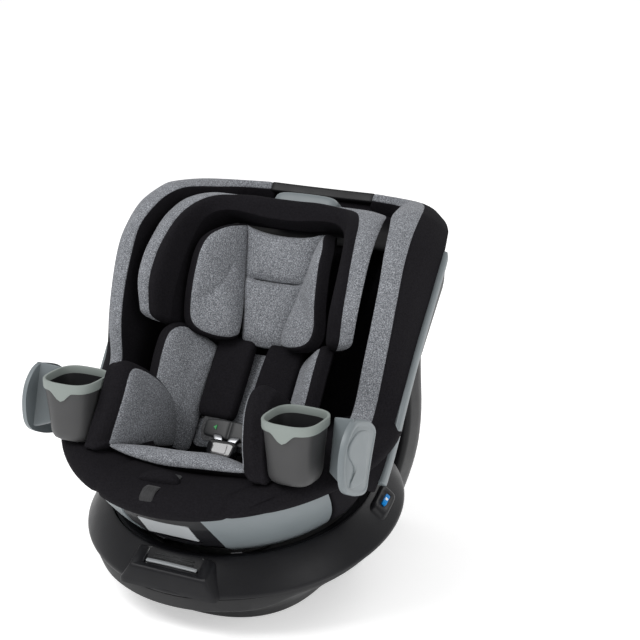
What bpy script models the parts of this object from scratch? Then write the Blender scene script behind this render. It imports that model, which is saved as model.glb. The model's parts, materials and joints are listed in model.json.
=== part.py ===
"""Rotating all-in-one child car seat: a wedge base with a rear arm, a turntable on a tilted axis,
and a reclining bucket seat with a sliding headrest, harness, infant inserts and cup holders.

World frame: metres, +Z up, the floor is Z = 0, the seat faces -Y, and the swivel axis passes
through the deck centre. Deck parts are modelled in the deck frame (its Z is the swivel axis) and
seat parts in the seat frame (X is the recline axis, Z runs up along the child's back)."""

import bpy
import bmesh
from math import sin, cos, pi, radians, sqrt
from mathutils import Matrix, Vector

# ---- driving dimensions -------------------------------------------------------------------------
DECK_TILT = radians(12)          # swivel axis leans forward from the vertical
DECK_HEIGHT = 0.108              # deck centre above the floor
PIVOT_RISE = 0.203               # recline axis above the deck centre
RECLINE = radians(48)            # seat frame's lean from the swivel axis
GAP = 0.0004                     # clearance between pieces that touch

RIDGE_R = 0.225                  # widest circle of the base deck
RIM_R = 0.187                    # inner rim of the deck ring
RIM_H = 0.040                    # height of the inner rim
SEAT_BALL_R = 0.231              # round underside of the seat
PANEL_R = 0.236                  # outside of the grey panels on it
DISH_R = 0.241                   # inside of the turntable's dish
DISH_T = 0.006

BACK_Y = 0.160                   # rear face of the back shell, seat frame
SHELL_T = 0.004

CUP_X = 0.165
CUP_TOP = 0.078
CUP_BASE = 0.062
CUP_TALL = 0.088

BELT_T = 0.002                   # harness webbing

NAME = "convertible_car_seat"


# ---- scene and materials ------------------------------------------------------------------------
for old in list(bpy.data.objects):
    bpy.data.objects.remove(old, do_unlink=True)

PARTS = bpy.data.collections.new(NAME)
CUTTERS = bpy.data.collections.new("cutters")
bpy.context.scene.collection.children.link(PARTS)
bpy.context.scene.collection.children.link(CUTTERS)

PALETTE = {
    "base_black": ((0.020, 0.020, 0.023), 0.42, 0.0),
    "gloss_black": ((0.010, 0.010, 0.011), 0.18, 0.0),
    "dark_grey": ((0.055, 0.057, 0.060), 0.5, 0.0),
    "shell_grey": ((0.165, 0.190, 0.205), 0.45, 0.0),
    "handle_grey": ((0.46, 0.48, 0.50), 0.4, 0.0),
    "cup_charcoal": ((0.047, 0.047, 0.049), 0.5, 0.0),
    "cup_ring_sage": ((0.27, 0.31, 0.29), 0.5, 0.0),
    "black_knit": ((0.012, 0.012, 0.014), 0.95, 0.0),
    "heather_knit": ((0.25, 0.26, 0.28), 0.95, 0.0),
    "webbing": ((0.035, 0.036, 0.038), 0.8, 0.0),
    "steel": ((0.55, 0.56, 0.58), 0.3, 1.0),
    "panel_metal": ((0.30, 0.31, 0.33), 0.35, 0.8),
    "rubber": ((0.020, 0.020, 0.020), 0.9, 0.0),
    "indicator_blue": ((0.0, 0.16, 0.58), 0.2, 0.0),
    "release_red": ((0.45, 0.02, 0.02), 0.4, 0.0),
}


def make_material(name):
    colour, rough, metal = PALETTE[name]
    material = bpy.data.materials.new(name)
    material.use_nodes = True
    shader = material.node_tree.nodes["Principled BSDF"]
    shader.inputs["Base Color"].default_value = (*colour, 1.0)
    shader.inputs["Roughness"].default_value = rough
    shader.inputs["Metallic"].default_value = metal
    return material


MATERIALS = {name: make_material(name) for name in PALETTE}


def frame_empty(name, parent, location, turn_x):
    empty = bpy.data.objects.new(name, None)
    bpy.context.scene.collection.objects.link(empty)
    empty.location = location
    empty.rotation_euler = (turn_x, 0, 0)
    empty.parent = parent
    return empty


DECK = frame_empty("deck_frame", None, (0, 0, DECK_HEIGHT), DECK_TILT)
SEAT = frame_empty("recline_axis", DECK, (0, 0, PIVOT_RISE), -RECLINE)
UPRIGHT = frame_empty("cup_frame", SEAT, (0, 0, 0), RECLINE - DECK_TILT)


# ---- modelling helpers --------------------------------------------------------------------------
def rounded(points, radius, steps=3):
    """The polygon with each corner replaced by an arc of the given radius."""
    result = []
    count = len(points)
    for i in range(count):
        here = Vector(points[i])
        before = (Vector(points[i - 1]) - here)
        after = (Vector(points[(i + 1) % count]) - here)
        reach = min(radius, 0.45 * before.length, 0.45 * after.length)
        start = here + before.normalized() * reach
        end = here + after.normalized() * reach
        for k in range(steps + 1):
            t = k / steps
            point = start * (1 - t) ** 2 + here * 2 * t * (1 - t) + end * t ** 2
            result.append(tuple(point))
    return result


def rectangle(x0, x1, y0, y1):
    return [(x0, y0), (x1, y0), (x1, y1), (x0, y1)]


def circle(radius, count, centre=(0, 0)):
    turns = [2 * pi * k / count for k in range(count)]
    return [(centre[0] + radius * cos(t), centre[1] + radius * sin(t)) for t in turns]


def finish_mesh(name, bm, material=None, parent=None, is_cutter=False):
    bmesh.ops.recalc_face_normals(bm, faces=bm.faces)
    if bm.calc_volume(signed=True) < 0:
        bmesh.ops.reverse_faces(bm, faces=bm.faces)
    mesh = bpy.data.meshes.new(name)
    bm.to_mesh(mesh)
    bm.free()
    obj = bpy.data.objects.new(name, mesh)
    (CUTTERS if is_cutter else PARTS).objects.link(obj)
    obj.parent = parent
    if is_cutter:
        obj.hide_render = True
        obj.display_type = "WIRE"
    else:
        mesh.materials.append(MATERIALS[material])
        mesh.shade_smooth()
        mesh.set_sharp_from_angle(angle=radians(35))
    return obj


# Axes of an outline: its two coordinates and the direction that it is extruded along.
PLANES = {
    "X": Matrix(((0, 0, 1), (1, 0, 0), (0, 1, 0))).to_4x4(),     # outline in Y, Z
    "Y": Matrix(((1, 0, 0), (0, 0, -1), (0, 1, 0))).to_4x4(),    # outline in X, Z
    "Z": Matrix.Identity(4),                                     # outline in X, Y
}


def extrusion(name, outline, axis, low, high, material=None, parent=None, is_cutter=False):
    """A flat outline given thickness along X, Y or Z, from low to high."""
    curve = bpy.data.curves.new(name, "CURVE")
    curve.dimensions = "2D"
    curve.fill_mode = "BOTH"
    curve.extrude = (high - low) / 2
    spline = curve.splines.new("POLY")
    spline.points.add(len(outline) - 1)
    for point, (u, v) in zip(spline.points, outline):
        point.co = (u, v, 0, 1)
    spline.use_cyclic_u = True
    flat = bpy.data.objects.new(name, curve)
    bpy.context.scene.collection.objects.link(flat)
    bpy.context.view_layer.update()
    graph = bpy.context.evaluated_depsgraph_get()
    mesh = bpy.data.meshes.new_from_object(flat.evaluated_get(graph))
    bpy.data.objects.remove(flat)
    bm = bmesh.new()
    bm.from_mesh(mesh)
    bpy.data.meshes.remove(mesh)
    bmesh.ops.remove_doubles(bm, verts=bm.verts, dist=1e-6)
    middle = (low + high) / 2
    shift = {"X": (middle, 0, 0), "Y": (0, middle, 0), "Z": (0, 0, middle)}[axis]
    bm.transform(Matrix.Translation(shift) @ PLANES[axis])
    return finish_mesh(name, bm, material, parent, is_cutter)


def loft(name, rings, material=None, parent=None, is_cutter=False):
    """A solid through rings of equally many points, closed at both ends."""
    bm = bmesh.new()
    rows = [[bm.verts.new(point) for point in ring] for ring in rings]
    count = len(rows[0])
    for lower, upper in zip(rows, rows[1:]):
        for k in range(count):
            n = (k + 1) % count
            bm.faces.new((lower[k], lower[n], upper[n], upper[k]))
    bm.faces.new(rows[0])
    bm.faces.new(rows[-1])
    return finish_mesh(name, bm, material, parent, is_cutter)


def turned(name, profile, steps, material=None, parent=None, is_cutter=False):
    """A closed profile of (radius, height) points turned about Z; it may touch the axis."""
    bm = bmesh.new()
    verts = [bm.verts.new((r, 0, h)) for r, h in profile]
    for a, b in zip(verts, verts[1:] + verts[:1]):
        if a.co.x > 0 or b.co.x > 0:
            bm.edges.new((a, b))
    bmesh.ops.spin(bm, geom=bm.edges[:], cent=(0, 0, 0), axis=(0, 0, 1), angle=2 * pi, steps=steps)
    bmesh.ops.remove_doubles(bm, verts=bm.verts, dist=1e-6)
    return finish_mesh(name, bm, material, parent, is_cutter)


def block(name, low, high, material=None, parent=None, is_cutter=False):
    bm = bmesh.new()
    bmesh.ops.create_cube(bm, size=1)
    size = Vector(high) - Vector(low)
    middle = (Vector(high) + Vector(low)) / 2
    bmesh.ops.scale(bm, vec=size, verts=bm.verts)
    bmesh.ops.translate(bm, vec=middle, verts=bm.verts)
    return finish_mesh(name, bm, material, parent, is_cutter)


def ball(name, radius, segments, parent=None):
    bm = bmesh.new()
    bmesh.ops.create_uvsphere(bm, u_segments=segments, v_segments=segments // 2, radius=radius)
    return finish_mesh(name, bm, None, parent, True)


def bevel(obj, width, segments=2, angle=35):
    modifier = obj.modifiers.new("bevel", "BEVEL")
    modifier.width = width
    modifier.segments = segments
    modifier.limit_method = "ANGLE"
    modifier.angle_limit = radians(angle)
    return obj


def boolean(obj, cutter, operation="DIFFERENCE"):
    modifier = obj.modifiers.new(operation.lower(), "BOOLEAN")
    modifier.operation = operation
    modifier.object = cutter
    modifier.solver = "EXACT"
    return obj


def both_sides(make, name, *values):
    """A left (-X) and a right (+X) piece from one maker, which takes name and side first."""
    return [make(name + "_left", -1, *values), make(name + "_right", 1, *values)]


def mirrored(points, side):
    return [(side * p[0], *p[1:]) for p in points]


# ---- base: tray, deck, lever pod, arm -----------------------------------------------------------
def deck_ring(radius_of, height_of, count=48):
    """World points of a ring drawn in the deck frame; f runs from 0 at the front to 1 at the rear."""
    points = []
    for k in range(count):
        turn = 2 * pi * k / count
        f = (1 + sin(turn)) / 2
        x = radius_of(f) * cos(turn)
        y = radius_of(f) * sin(turn)
        h = height_of(f)
        points.append((x, y * cos(DECK_TILT) - h * sin(DECK_TILT),
                       DECK_HEIGHT + y * sin(DECK_TILT) + h * cos(DECK_TILT)))
    return points


def floor_ring(half_width, front, rear, z, count=48, squareness=2.6):
    points = []
    for k in range(count):
        turn = 2 * pi * k / count
        c, s = cos(turn), sin(turn)
        x = half_width * abs(c) ** (2 / squareness) * (1 if c >= 0 else -1)
        y = abs(s) ** (2 / squareness) * (rear if s >= 0 else front)
        points.append((x, y, z))
    return points


def build_base():
    well = ball("cut_well", DISH_R + DISH_T + 0.003, 40, DECK)
    well.location = (0, 0, PIVOT_RISE)
    tray = loft("base_tray", [
        floor_ring(0.122, -0.150, 0.190, 0.0),
        floor_ring(0.130, -0.162, 0.198, 0.012),
        deck_ring(lambda f: 0.210 - 0.022 * f, lambda f: -0.025 - 0.060 * f),
        deck_ring(lambda f: 0.2215 - 0.022 * f, lambda f: -0.019 - 0.057 * f),
        deck_ring(lambda f: 0.2240 - 0.018 * f, lambda f: -0.0036),
    ], "dark_grey")
    boolean(tray, well)

    deck = turned("base_deck", [
        (0.2215, -0.0032), (RIDGE_R, -0.0012), (RIDGE_R + 0.0004, 0.0016), (0.222, 0.0065),
        (0.213, 0.0175), (0.202, 0.0290), (0.194, 0.0365), (RIM_R + 0.002, RIM_H), (RIM_R, RIM_H - 0.001),
        (RIM_R - 0.001, 0.030), (RIM_R - 0.001, 0.0025), (0.2005, -0.0032)], 64, "base_black", DECK)

    pod_stations = [(0.004, 0.062, -0.2120, -0.1905), (0.012, 0.061, -0.2115, -0.1905),
                    (0.0345, 0.048, -0.2070, -0.1905)]

    def pod_rings(slack):
        rings = []
        for h, half, front, rear in pod_stations:
            outline = rounded(rectangle(-half - slack, half + slack, front - slack, rear + slack), 0.005)
            rings.append([(x, y, h - (slack if h < 0.01 else 0)) for x, y in outline])
        if slack:
            rings.append([(x, y, h + 0.01) for x, y, h in rings[-1]])
        return rings

    pod = loft("lever_pod", pod_rings(0), "base_black", DECK)
    boolean(deck, loft("cut_pod", pod_rings(GAP), None, DECK, True))
    boolean(pod, block("cut_pod_slot", (-0.0410, -0.2030, 0.0065), (0.0410, -0.1930, 0.05), None, DECK, True))

    for name, side in (("level_indicator_left", -1), ("level_indicator_right", 1)):
        angle = radians(90 - side * 82)
        place = Vector((0.2035 * cos(angle), 0.2035 * sin(angle), 0.0285))
        lens = extrusion(name, rounded(rectangle(-0.006, 0.006, -0.011, 0.011), 0.003), "Z", 0.0, 0.006,
                         "indicator_blue", DECK)
        pocket = extrusion("cut_" + name, rounded(rectangle(-0.0064, 0.0064, -0.0114, 0.0114), 0.003), "Z",
                           -0.0005, 0.02, None, DECK, True)
        for piece in (lens, pocket):
            piece.location = place
            piece.rotation_euler = (0, radians(42), angle)
        boolean(deck, pocket)

    for name, x, y, half in (("foot_pad_front", 0, -0.100, 0.060), ("foot_pad_rear_left", -0.080, 0.13, 0.022),
                             ("foot_pad_rear_right", 0.080, 0.13, 0.022)):
        pad = extrusion(name, rounded(rectangle(-half, half, -0.014, 0.014), 0.006), "Z", 0.0, 0.0035, "rubber")
        pocket = extrusion("cut_" + name, rounded(rectangle(-half - 0.0005, half + 0.0005, -0.0145, 0.0145),
                                                  0.006), "Z", -0.002, 0.0039, None, None, True)
        for piece in (pad, pocket):
            piece.location = (x, y, 0)
        boolean(tray, pocket)
    return tray


ARM = [  # world height, front face, rear face, half width
    (0.000, 0.2000, 0.275, 0.105),
    (0.020, 0.2020, 0.288, 0.120),
    (0.100, 0.2200, 0.294, 0.145),
    (0.170, 0.2380, 0.296, 0.152),
    (0.250, 0.2510, 0.306, 0.144),
    (0.320, 0.2700, 0.322, 0.136),
    (0.390, 0.2890, 0.339, 0.127),
]
ARM_CAP = [(0.3906, 0.2892, 0.339, 0.127), (0.430, 0.3000, 0.344, 0.116), (0.452, 0.3080, 0.343, 0.100),
           (0.464, 0.3150, 0.338, 0.076)]


def arm_rings(stations, corner=0.020):
    """Rounded sections with a hollow front face, so that the seat's sides clear it when it turns."""
    rings = []
    for z, front, rear, half in stations:
        horn = front - 0.016 * half / 0.150
        points = [(-half * 0.96, rear), (-half, (front + rear) / 2), (-half, horn), (-half * 0.80, horn + 0.003),
                  (-half * 0.5, front), (half * 0.5, front), (half * 0.80, horn + 0.003), (half, horn),
                  (half, (front + rear) / 2), (half * 0.96, rear)]
        outline = rounded(points, min(corner, 0.3 * (rear - front)), 2)
        rings.append([(x, y, z) for x, y in outline])
    return rings


def build_arm(tray):
    arm = loft("arm_shell", arm_rings(ARM), "base_black")
    space = loft("cut_arm", arm_rings([(z - 0.01 if z == 0 else z, f - GAP, r + GAP, w + GAP)
                                       for z, f, r, w in ARM]), None, None, True)
    boolean(tray, space)
    loft("arm_cap", arm_rings(ARM_CAP), "gloss_black")
    # The ribbed belt panel fills a shallow recess in the arm's front face.
    face = [(y, z) for z, y, _, _ in ARM[3:]]
    front = [(y - 0.002, z) for y, z in face]
    back = [(y + 0.006, z) for y, z in reversed(face)]
    ends = [(front[0][0], 0.185), *front[1:-1], (front[-1][0] - 0.0035, 0.378),
            (back[0][0] - 0.0035, 0.378), *back[1:-1], (back[-1][0], 0.185)]
    panel = extrusion("arm_belt_panel", ends, "X", -0.062, 0.062, "panel_metal")
    bevel(panel, 0.001, 1)
    recess = [(y - 0.010, z) for y, z in ends[:4]] + [(y + GAP * 2, z) for y, z in ends[4:]]
    recess[0] = (recess[0][0], 0.1842)
    recess[3] = (recess[3][0], 0.3788)
    recess[4] = (recess[4][0], 0.3788)
    recess[-1] = (recess[-1][0], 0.1842)
    boolean(arm, extrusion("cut_arm_panel", recess, "X", -0.0628, 0.0628, None, None, True))


def build_lever():
    """Squeeze bar in the pod, and the pin that it draws out of the turntable."""
    return extrusion("rotation_lever", rounded([(-0.1985, 0.009), (-0.1940, 0.009), (-0.1940, 0.0265),
                                                (-0.1985, 0.0275)], 0.0015, 2), "X", -0.0400, 0.0400,
                     "handle_grey", DECK)


def cylinder(name, radius, low, high, centre, material=None, parent=None, is_cutter=False, sides=20):
    return extrusion(name, circle(radius, sides, centre), "Z", low, high, material, parent, is_cutter)


def build_bearing(tray):
    """The race that the turntable rides on, its centre spindle, and the swivel's lock pin."""
    turned("turntable_bearing", [(0.1850, -0.0030), (0.1850, 0.0241), (0.1792, 0.0241), (0.1792, -0.0030)], 56,
           "steel", DECK)
    cylinder("swivel_spindle", 0.0200, -0.0745, -0.0444, (0, 0), "steel", DECK)
    boolean(tray, cylinder("cut_spindle", 0.0204, -0.0749, 0.02, (0, 0), None, DECK, True))
    bevel(cylinder("rotation_lock_pin", 0.0030, -0.0250, 0.0240, (0, -0.1752), "steel", DECK, False, 12), 0.0006, 1)
    boolean(tray, cylinder("cut_lock_pin", 0.0035, -0.0400, 0.05, (0, -0.1752), None, DECK, True, 12))


# ---- turntable ----------------------------------------------------------------------------------
def sphere_height(radius, r):
    """Height in the deck frame of the lower half of a ball about the recline axis."""
    return PIVOT_RISE - sqrt(radius * radius - r * r)


def build_turntable():
    reach = (0.0, 0.040, 0.070, 0.100, 0.130, 0.155, 0.171)
    inner = [(r, sphere_height(DISH_R, r)) for r in reversed(reach)]
    outer = [(r, sphere_height(DISH_R + DISH_T, r)) for r in reach]
    flange = [(0.1845, 0.0245), (0.1845, 0.0365), (0.1800, 0.0365)]
    turned("turntable_dish", inner + outer + flange, 56, "base_black", DECK)
    both_sides(ball_rail, "recline_rail", "steel", (0.2369, 0.2392), radians(36), DISH_FRAME)


def ball_rail(name, side, material, radii, reach, parent):
    """A strip that follows the ball about the recline axis, at one side of the middle."""
    rings = []
    for turn in span(-reach, reach, 13):
        ring = []
        for radius, x in ((radii[0], 0.052), (radii[1], 0.052), (radii[1], 0.068), (radii[0], 0.068)):
            drop = sqrt(radius * radius - x * x)
            ring.append((side * x, drop * sin(turn), -drop * cos(turn)))
        rings.append(ring)
    return loft(name, rings, material, parent)


# ---- seat shell ---------------------------------------------------------------------------------
def build_bowl():
    """Round hard underside, open at the top, cut off behind by the back shell's plane."""
    rings = [(r, sphere_height(SEAT_BALL_R, r) - PIVOT_RISE) for r in
             (0.0, 0.045, 0.090, 0.130, 0.160, 0.185, 0.205, 0.2165)]
    shrink = (SEAT_BALL_R - SHELL_T) / SEAT_BALL_R
    inside = [(r * shrink, h * shrink) for r, h in reversed(rings)]
    bowl = turned("seat_bowl", rings + inside, 56, "base_black", BOWL)
    boolean(bowl, block("cut_bowl_rear", (-0.3, 0.112, -0.3), (0.3, 0.4, 0.3), None, SEAT, True))
    boolean(bowl, block("cut_bowl_top", (-0.3, 0.010, -0.098), (0.3, 0.2, 0.3), None, SEAT, True))
    return bowl


def bowl_point(angle, h, radius):
    """Point on a ball about the recline axis; angle is measured from the front, h above the deck."""
    z = h - PIVOT_RISE
    r = sqrt(radius * radius - z * z)
    return (r * sin(angle), -r * cos(angle), z)


def span(start, end, count):
    return [start + (end - start) * k / (count - 1) for k in range(count)]


PANEL_LOW = 0.050
PANEL_HIGH = 0.121
FRONT_HALF = radians(17)         # black centre of the front, at its top edge
FRONT_FLARE = radians(11)        # how much wider it is at the bottom


def build_panels(bowl):
    def side_panel(name, side):
        start, end = FRONT_HALF + 0.008, radians(66)
        rings = []
        for t in span(0, 1, 14):
            ring = []
            for radius, order in ((PANEL_R, 1), (SEAT_BALL_R + 0.0012, -1)):
                for k in (span(0, 1, 4) if order == 1 else span(1, 0, 4)):
                    flare = FRONT_FLARE * (1 - k) * (1 - t)
                    low = PANEL_LOW + 0.010 * max(0, t - 0.6)
                    h = low + (PANEL_HIGH - low) * k
                    rear = end + radians(5) * (1 - k)
                    angle = start + flare + (rear - start - flare) * t
                    ring.append(bowl_point(side * angle, h, radius))
            rings.append(ring)
        return loft(name, rings, "shell_grey", BOWL)

    both_sides(side_panel, "side_panel")
    rings = []
    for t in span(-1, 1, 12):
        ring = []
        for radius, order in ((PANEL_R - 0.0012, 1), (SEAT_BALL_R + 0.0012, -1)):
            for k in (span(0, 1, 4) if order == 1 else span(1, 0, 4)):
                half = FRONT_HALF + FRONT_FLARE * (1 - k)
                ring.append(bowl_point(half * t, PANEL_LOW + (PANEL_HIGH - PANEL_LOW) * k, radius))
        rings.append(ring)
    front = loft("front_panel", rings, "gloss_black", BOWL)
    space = block("cut_handle_space", (-0.0395, -0.3, -0.1412), (0.0395, -0.17, -0.0985), None, BOWL, True)
    boolean(front, space)
    boolean(bowl, space)


def build_recline_handle():
    profile = [(-0.1880, -0.1375), (-0.1790, -0.1375), (-0.2000, -0.1000), (-0.2095, -0.1000)]
    handle = extrusion("recline_handle", profile, "X", -0.0385, 0.0385, "handle_grey", BOWL)
    return bevel(handle, 0.0012, 1)


WING = [  # outer x, y, z of the front edge; inner x, y, z of it; x, y, z of the rear outer edge
    ((0.214, -0.004, -0.112), (0.200, -0.008, -0.092), (0.226, 0.036, -0.112)),
    ((0.212, 0.010, -0.060), (0.183, 0.000, -0.056), (0.230, 0.044, -0.060)),
    ((0.208, 0.026, -0.004), (0.181, 0.015, -0.007), (0.231, 0.047, -0.004)),
    ((0.2145, 0.0025, 0.046), (0.187, -0.0086, 0.046), (0.232, 0.049, 0.046)),
    ((0.2177, -0.0146, 0.093), (0.190, -0.024, 0.093), (0.232, 0.050, 0.093)),
    ((0.2186, -0.0294, 0.148), (0.190, -0.0354, 0.150), (0.232, 0.052, 0.148)),
    ((0.2165, -0.0313, 0.185), (0.187, -0.0399, 0.190), (0.232, 0.054, 0.190)),
    ((0.2121, -0.0204, 0.229), (0.1775, -0.0254, 0.2325), (0.231, 0.057, 0.236)),
    ((0.2033, 0.0085, 0.269), (0.170, -0.0092, 0.2564), (0.224, 0.070, 0.266)),
    ((0.1964, 0.0279, 0.285), (0.163, 0.015, 0.2747), (0.216, 0.084, 0.284)),
    ((0.1794, 0.0645, 0.308), (0.148, 0.0563, 0.2955), (0.196, 0.105, 0.306)),
    ((0.1505, 0.1000, 0.326), (0.131, 0.094, 0.314), (0.162, 0.128, 0.326)),
    ((0.0850, 0.1080, 0.333), (0.083, 0.104, 0.320), (0.085, 0.132, 0.331)),
]


def build_wings():
    def wing(name, side):
        """Side bolster that follows the bucket's rim and sweeps back over the top."""
        rings = []
        for outer, inner, rear in WING:
            tuck = Vector((inner[0] - outer[0], 0, inner[2] - outer[2])) * 0.75
            rear_inner = (rear[0] + tuck.x, rear[1] - 0.004, rear[2] + tuck.z)
            rings.append(mirrored([outer, rear, rear_inner, inner], side))
        return loft(name, rings, "heather_knit", SEAT)

    both_sides(wing, "wing_pad")

    def trim(name, side):
        rings = []
        for _, _, (x, y, z) in WING[:8]:
            rings.append(mirrored([(x + 0.003, y + GAP, z), (x + 0.003, y + 0.0125, z),
                                   (x - 0.012, y + 0.0125, z * 0.98), (x - 0.012, y + GAP, z * 0.98)], side))
        return loft(name, rings, "shell_grey", SEAT)

    both_sides(trim, "side_trim")


def build_back_shell():
    def outline(half, bottom, top, corner):
        return rounded([(-half * 0.96, bottom), (half * 0.96, bottom), (half, top), (-half, top)], corner, 4)

    outer = [(0.2300, -0.045, 0.240, 0.050, 0.0740), (0.2240, -0.048, 0.275, 0.070, 0.1000),
             (0.2000, -0.052, 0.318, 0.080, 0.1370), (0.1850, -0.054, 0.322, 0.075, 0.1500),
             (0.1600, -0.052, 0.306, 0.065, BACK_Y)]
    rings = [[(x, y, z) for x, z in outline(half, low, top, corner)] for half, low, top, corner, y in outer]
    shell = loft("back_shell", rings, "base_black", SEAT)
    inner = [[(x, y - SHELL_T if y > 0.08 else y - 0.01, z) for x, z in
              outline(half - SHELL_T, low + SHELL_T, top - SHELL_T, corner - SHELL_T)]
             for half, low, top, corner, y in outer]
    boolean(shell, loft("cut_back_shell", inner, None, SEAT, True))
    boolean(shell, block("cut_back_foot", (-0.188, 0.05, -0.10), (0.188, 0.0985, 0.10), None, SEAT, True))
    return shell


# ---- soft goods ---------------------------------------------------------------------------------
def prism(name, profile, half, material, parent, size=0.0):
    piece = extrusion(name, profile, "X", -half, half, material, parent)
    if size:
        bevel(piece, size, 2, 30)
    return piece


def side_prism(name, side, profile, x0, x1, material, parent, size=0.0):
    low, high = sorted((side * x0, side * x1))
    piece = extrusion(name, profile, "X", low, high, material, parent)
    if size:
        bevel(piece, size, 2, 30)
    return piece


def build_pads():
    prism("back_pad", [(0.1010, -0.035), (0.1120, -0.035), (0.1120, 0.262), (0.1010, 0.262)], 0.165,
          "black_knit", SEAT, 0.003)

    seat = prism("seat_pad", [(0.088, -0.096), (0.050, -0.122), (-0.058, -0.172), (-0.058, -0.225),
                              (0.100, -0.225), (0.104, -0.096)], 0.185, "black_knit", SEAT)
    inside = ball("fit_seat_pad", SEAT_BALL_R - SHELL_T - 0.0035, 40, SEAT)
    boolean(seat, inside, "INTERSECT")

    # Front roll of the cover: a band that bulges over the panels' top edge.
    rings = []
    for angle in span(radians(-70), radians(70), 17):
        edge = [(0.165, 0.1265), (0.2150, 0.1252), (0.2290, 0.1228), (0.2370, 0.1330), (0.2350, 0.1460), (0.2220, 0.1545),
                (0.2050, 0.1545), (0.165, 0.1400)]
        rings.append([(r * sin(angle), -r * cos(angle), h - PIVOT_RISE) for r, h in edge])
    apron = loft("seat_apron", rings, "black_knit", BOWL)
    boolean(apron, block("cut_apron_rear", (-0.3, -0.0605, -0.4), (0.3, 0.3, 0.4), None, SEAT, True))

    def torso(name, side):
        profile = rounded([(0.0125, -0.116), (0.0125, 0.040), (0.030, 0.060), (0.055, 0.060), (0.092, 0.030),
                           (0.092, -0.082)], 0.012, 2)
        return side_prism(name, side, profile, 0.0765, 0.128, "heather_knit", SEAT)

    both_sides(torso, "torso_bolster")

    def thigh(name, side):
        profile = rounded([(-0.080, -0.138), (-0.060, -0.066), (-0.030, -0.024), (0.000, -0.016),
                           (0.0118, -0.035), (0.0118, -0.128), (-0.050, -0.142)], 0.010, 2)
        return side_prism(name, side, profile, 0.0745, 0.108, "heather_knit", SEAT)

    both_sides(thigh, "thigh_bolster")

    prism("insert_back", [(0.0945, -0.084), (0.0945, 0.060), (0.0830, 0.060), (0.0720, -0.084)], 0.0750,
          "heather_knit", SEAT, 0.003)
    prism("insert_seat", rounded([(0.0780, -0.0885), (0.0300, -0.1130), (-0.0500, -0.1410), (-0.0595, -0.1490),
                                  (-0.0560, -0.1560), (0.0440, -0.1220), (0.0840, -0.0930)], 0.004, 2), 0.0735,
          "heather_knit", SEAT)


def build_headrest():
    pad = prism("headrest_pad", [(0.0860, 0.085), (0.0860, 0.262), (0.0060, 0.269), (0.0000, 0.250),
                                 (0.0140, 0.238), (0.0500, 0.238), (0.0840, 0.085)], 0.0740, "black_knit", HEAD)

    brow = extrusion("join_brow", rounded([(0.0445, 0.238), (0.0445, 0.264), (0.0040, 0.268), (-0.0040, 0.250),
                                           (0.006, 0.238)], 0.004, 2), "X", -0.1170, 0.1170, None, HEAD, True)
    boolean(pad, brow, "UNION")

    def wing(name, side):
        outline = rounded([(0.1175, 0.022), (0.1300, -0.020), (0.1480, -0.038), (0.1690, -0.034), (0.1695, -0.022),
                           (0.1590, 0.010), (0.1430, 0.0445), (0.1175, 0.0445)], 0.006, 2)
        rings = []
        for z, grow, back in ((0.066, 0.90, 0.020), (0.080, 0.97, 0.010), (0.110, 1.0, 0.001), (0.180, 1.0, 0.0),
                              (0.225, 0.96, 0.012), (0.246, 0.90, 0.028)):
            rings.append([(side * (0.1175 + (x - 0.1175) * grow), max(y, y + back * (0.0445 - y) / 0.0825), z)
                          for x, y in outline])
        return loft(name, rings, "heather_knit", HEAD)

    both_sides(wing, "headrest_wing")

    centre = [(0.0835, 0.0845), (0.0495, 0.2375), (0.0260, 0.2375), (0.0640, 0.070), (0.0780, 0.070)]
    pillow = extrusion("head_pillow", centre, "X", -0.0640, 0.0640, "heather_knit", HEAD)
    for side in (-1, 1):
        low, high = sorted((side * 0.058, side * 0.1165))
        lobe = extrusion("join_lobe", rounded([(0.0440, 0.075), (0.0440, 0.2320), (0.0120, 0.2320),
                                               (-0.0040, 0.1700), (0.0100, 0.0750)], 0.012, 3), "X", low, high,
                         None, HEAD, True)
        boolean(pillow, lobe, "UNION")

    core = block("headrest_core", (-0.0700, 0.0865, 0.082), (0.0700, 0.0985, 0.276), "base_black", HEAD)
    bevel(core, 0.002, 1)
    lever = extrusion("headrest_lever", rounded([(0.0500, 0.2725), (0.0780, 0.2725), (0.0780, 0.2860),
                                                 (0.0560, 0.2900), (0.0480, 0.2840)], 0.003, 2), "X", -0.034,
                      0.034, "handle_grey", HEAD)
    return pad, lever


# ---- harness ------------------------------------------------------------------------------------
def strap(name, points, width, material, parent, across=(1, 0, 0)):
    """Flat webbing through points; each point may carry its own width direction."""
    rings = []
    for i, point in enumerate(points):
        here = Vector(point)
        ahead = Vector(points[min(i + 1, len(points) - 1)]) - Vector(points[max(i - 1, 0)])
        side = Vector(across).normalized() * width / 2
        normal = ahead.cross(side).normalized() * BELT_T / 2
        rings.append([here + side + normal, here + side - normal, here - side - normal, here - side + normal])
    return loft(name, rings, material, parent)


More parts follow.
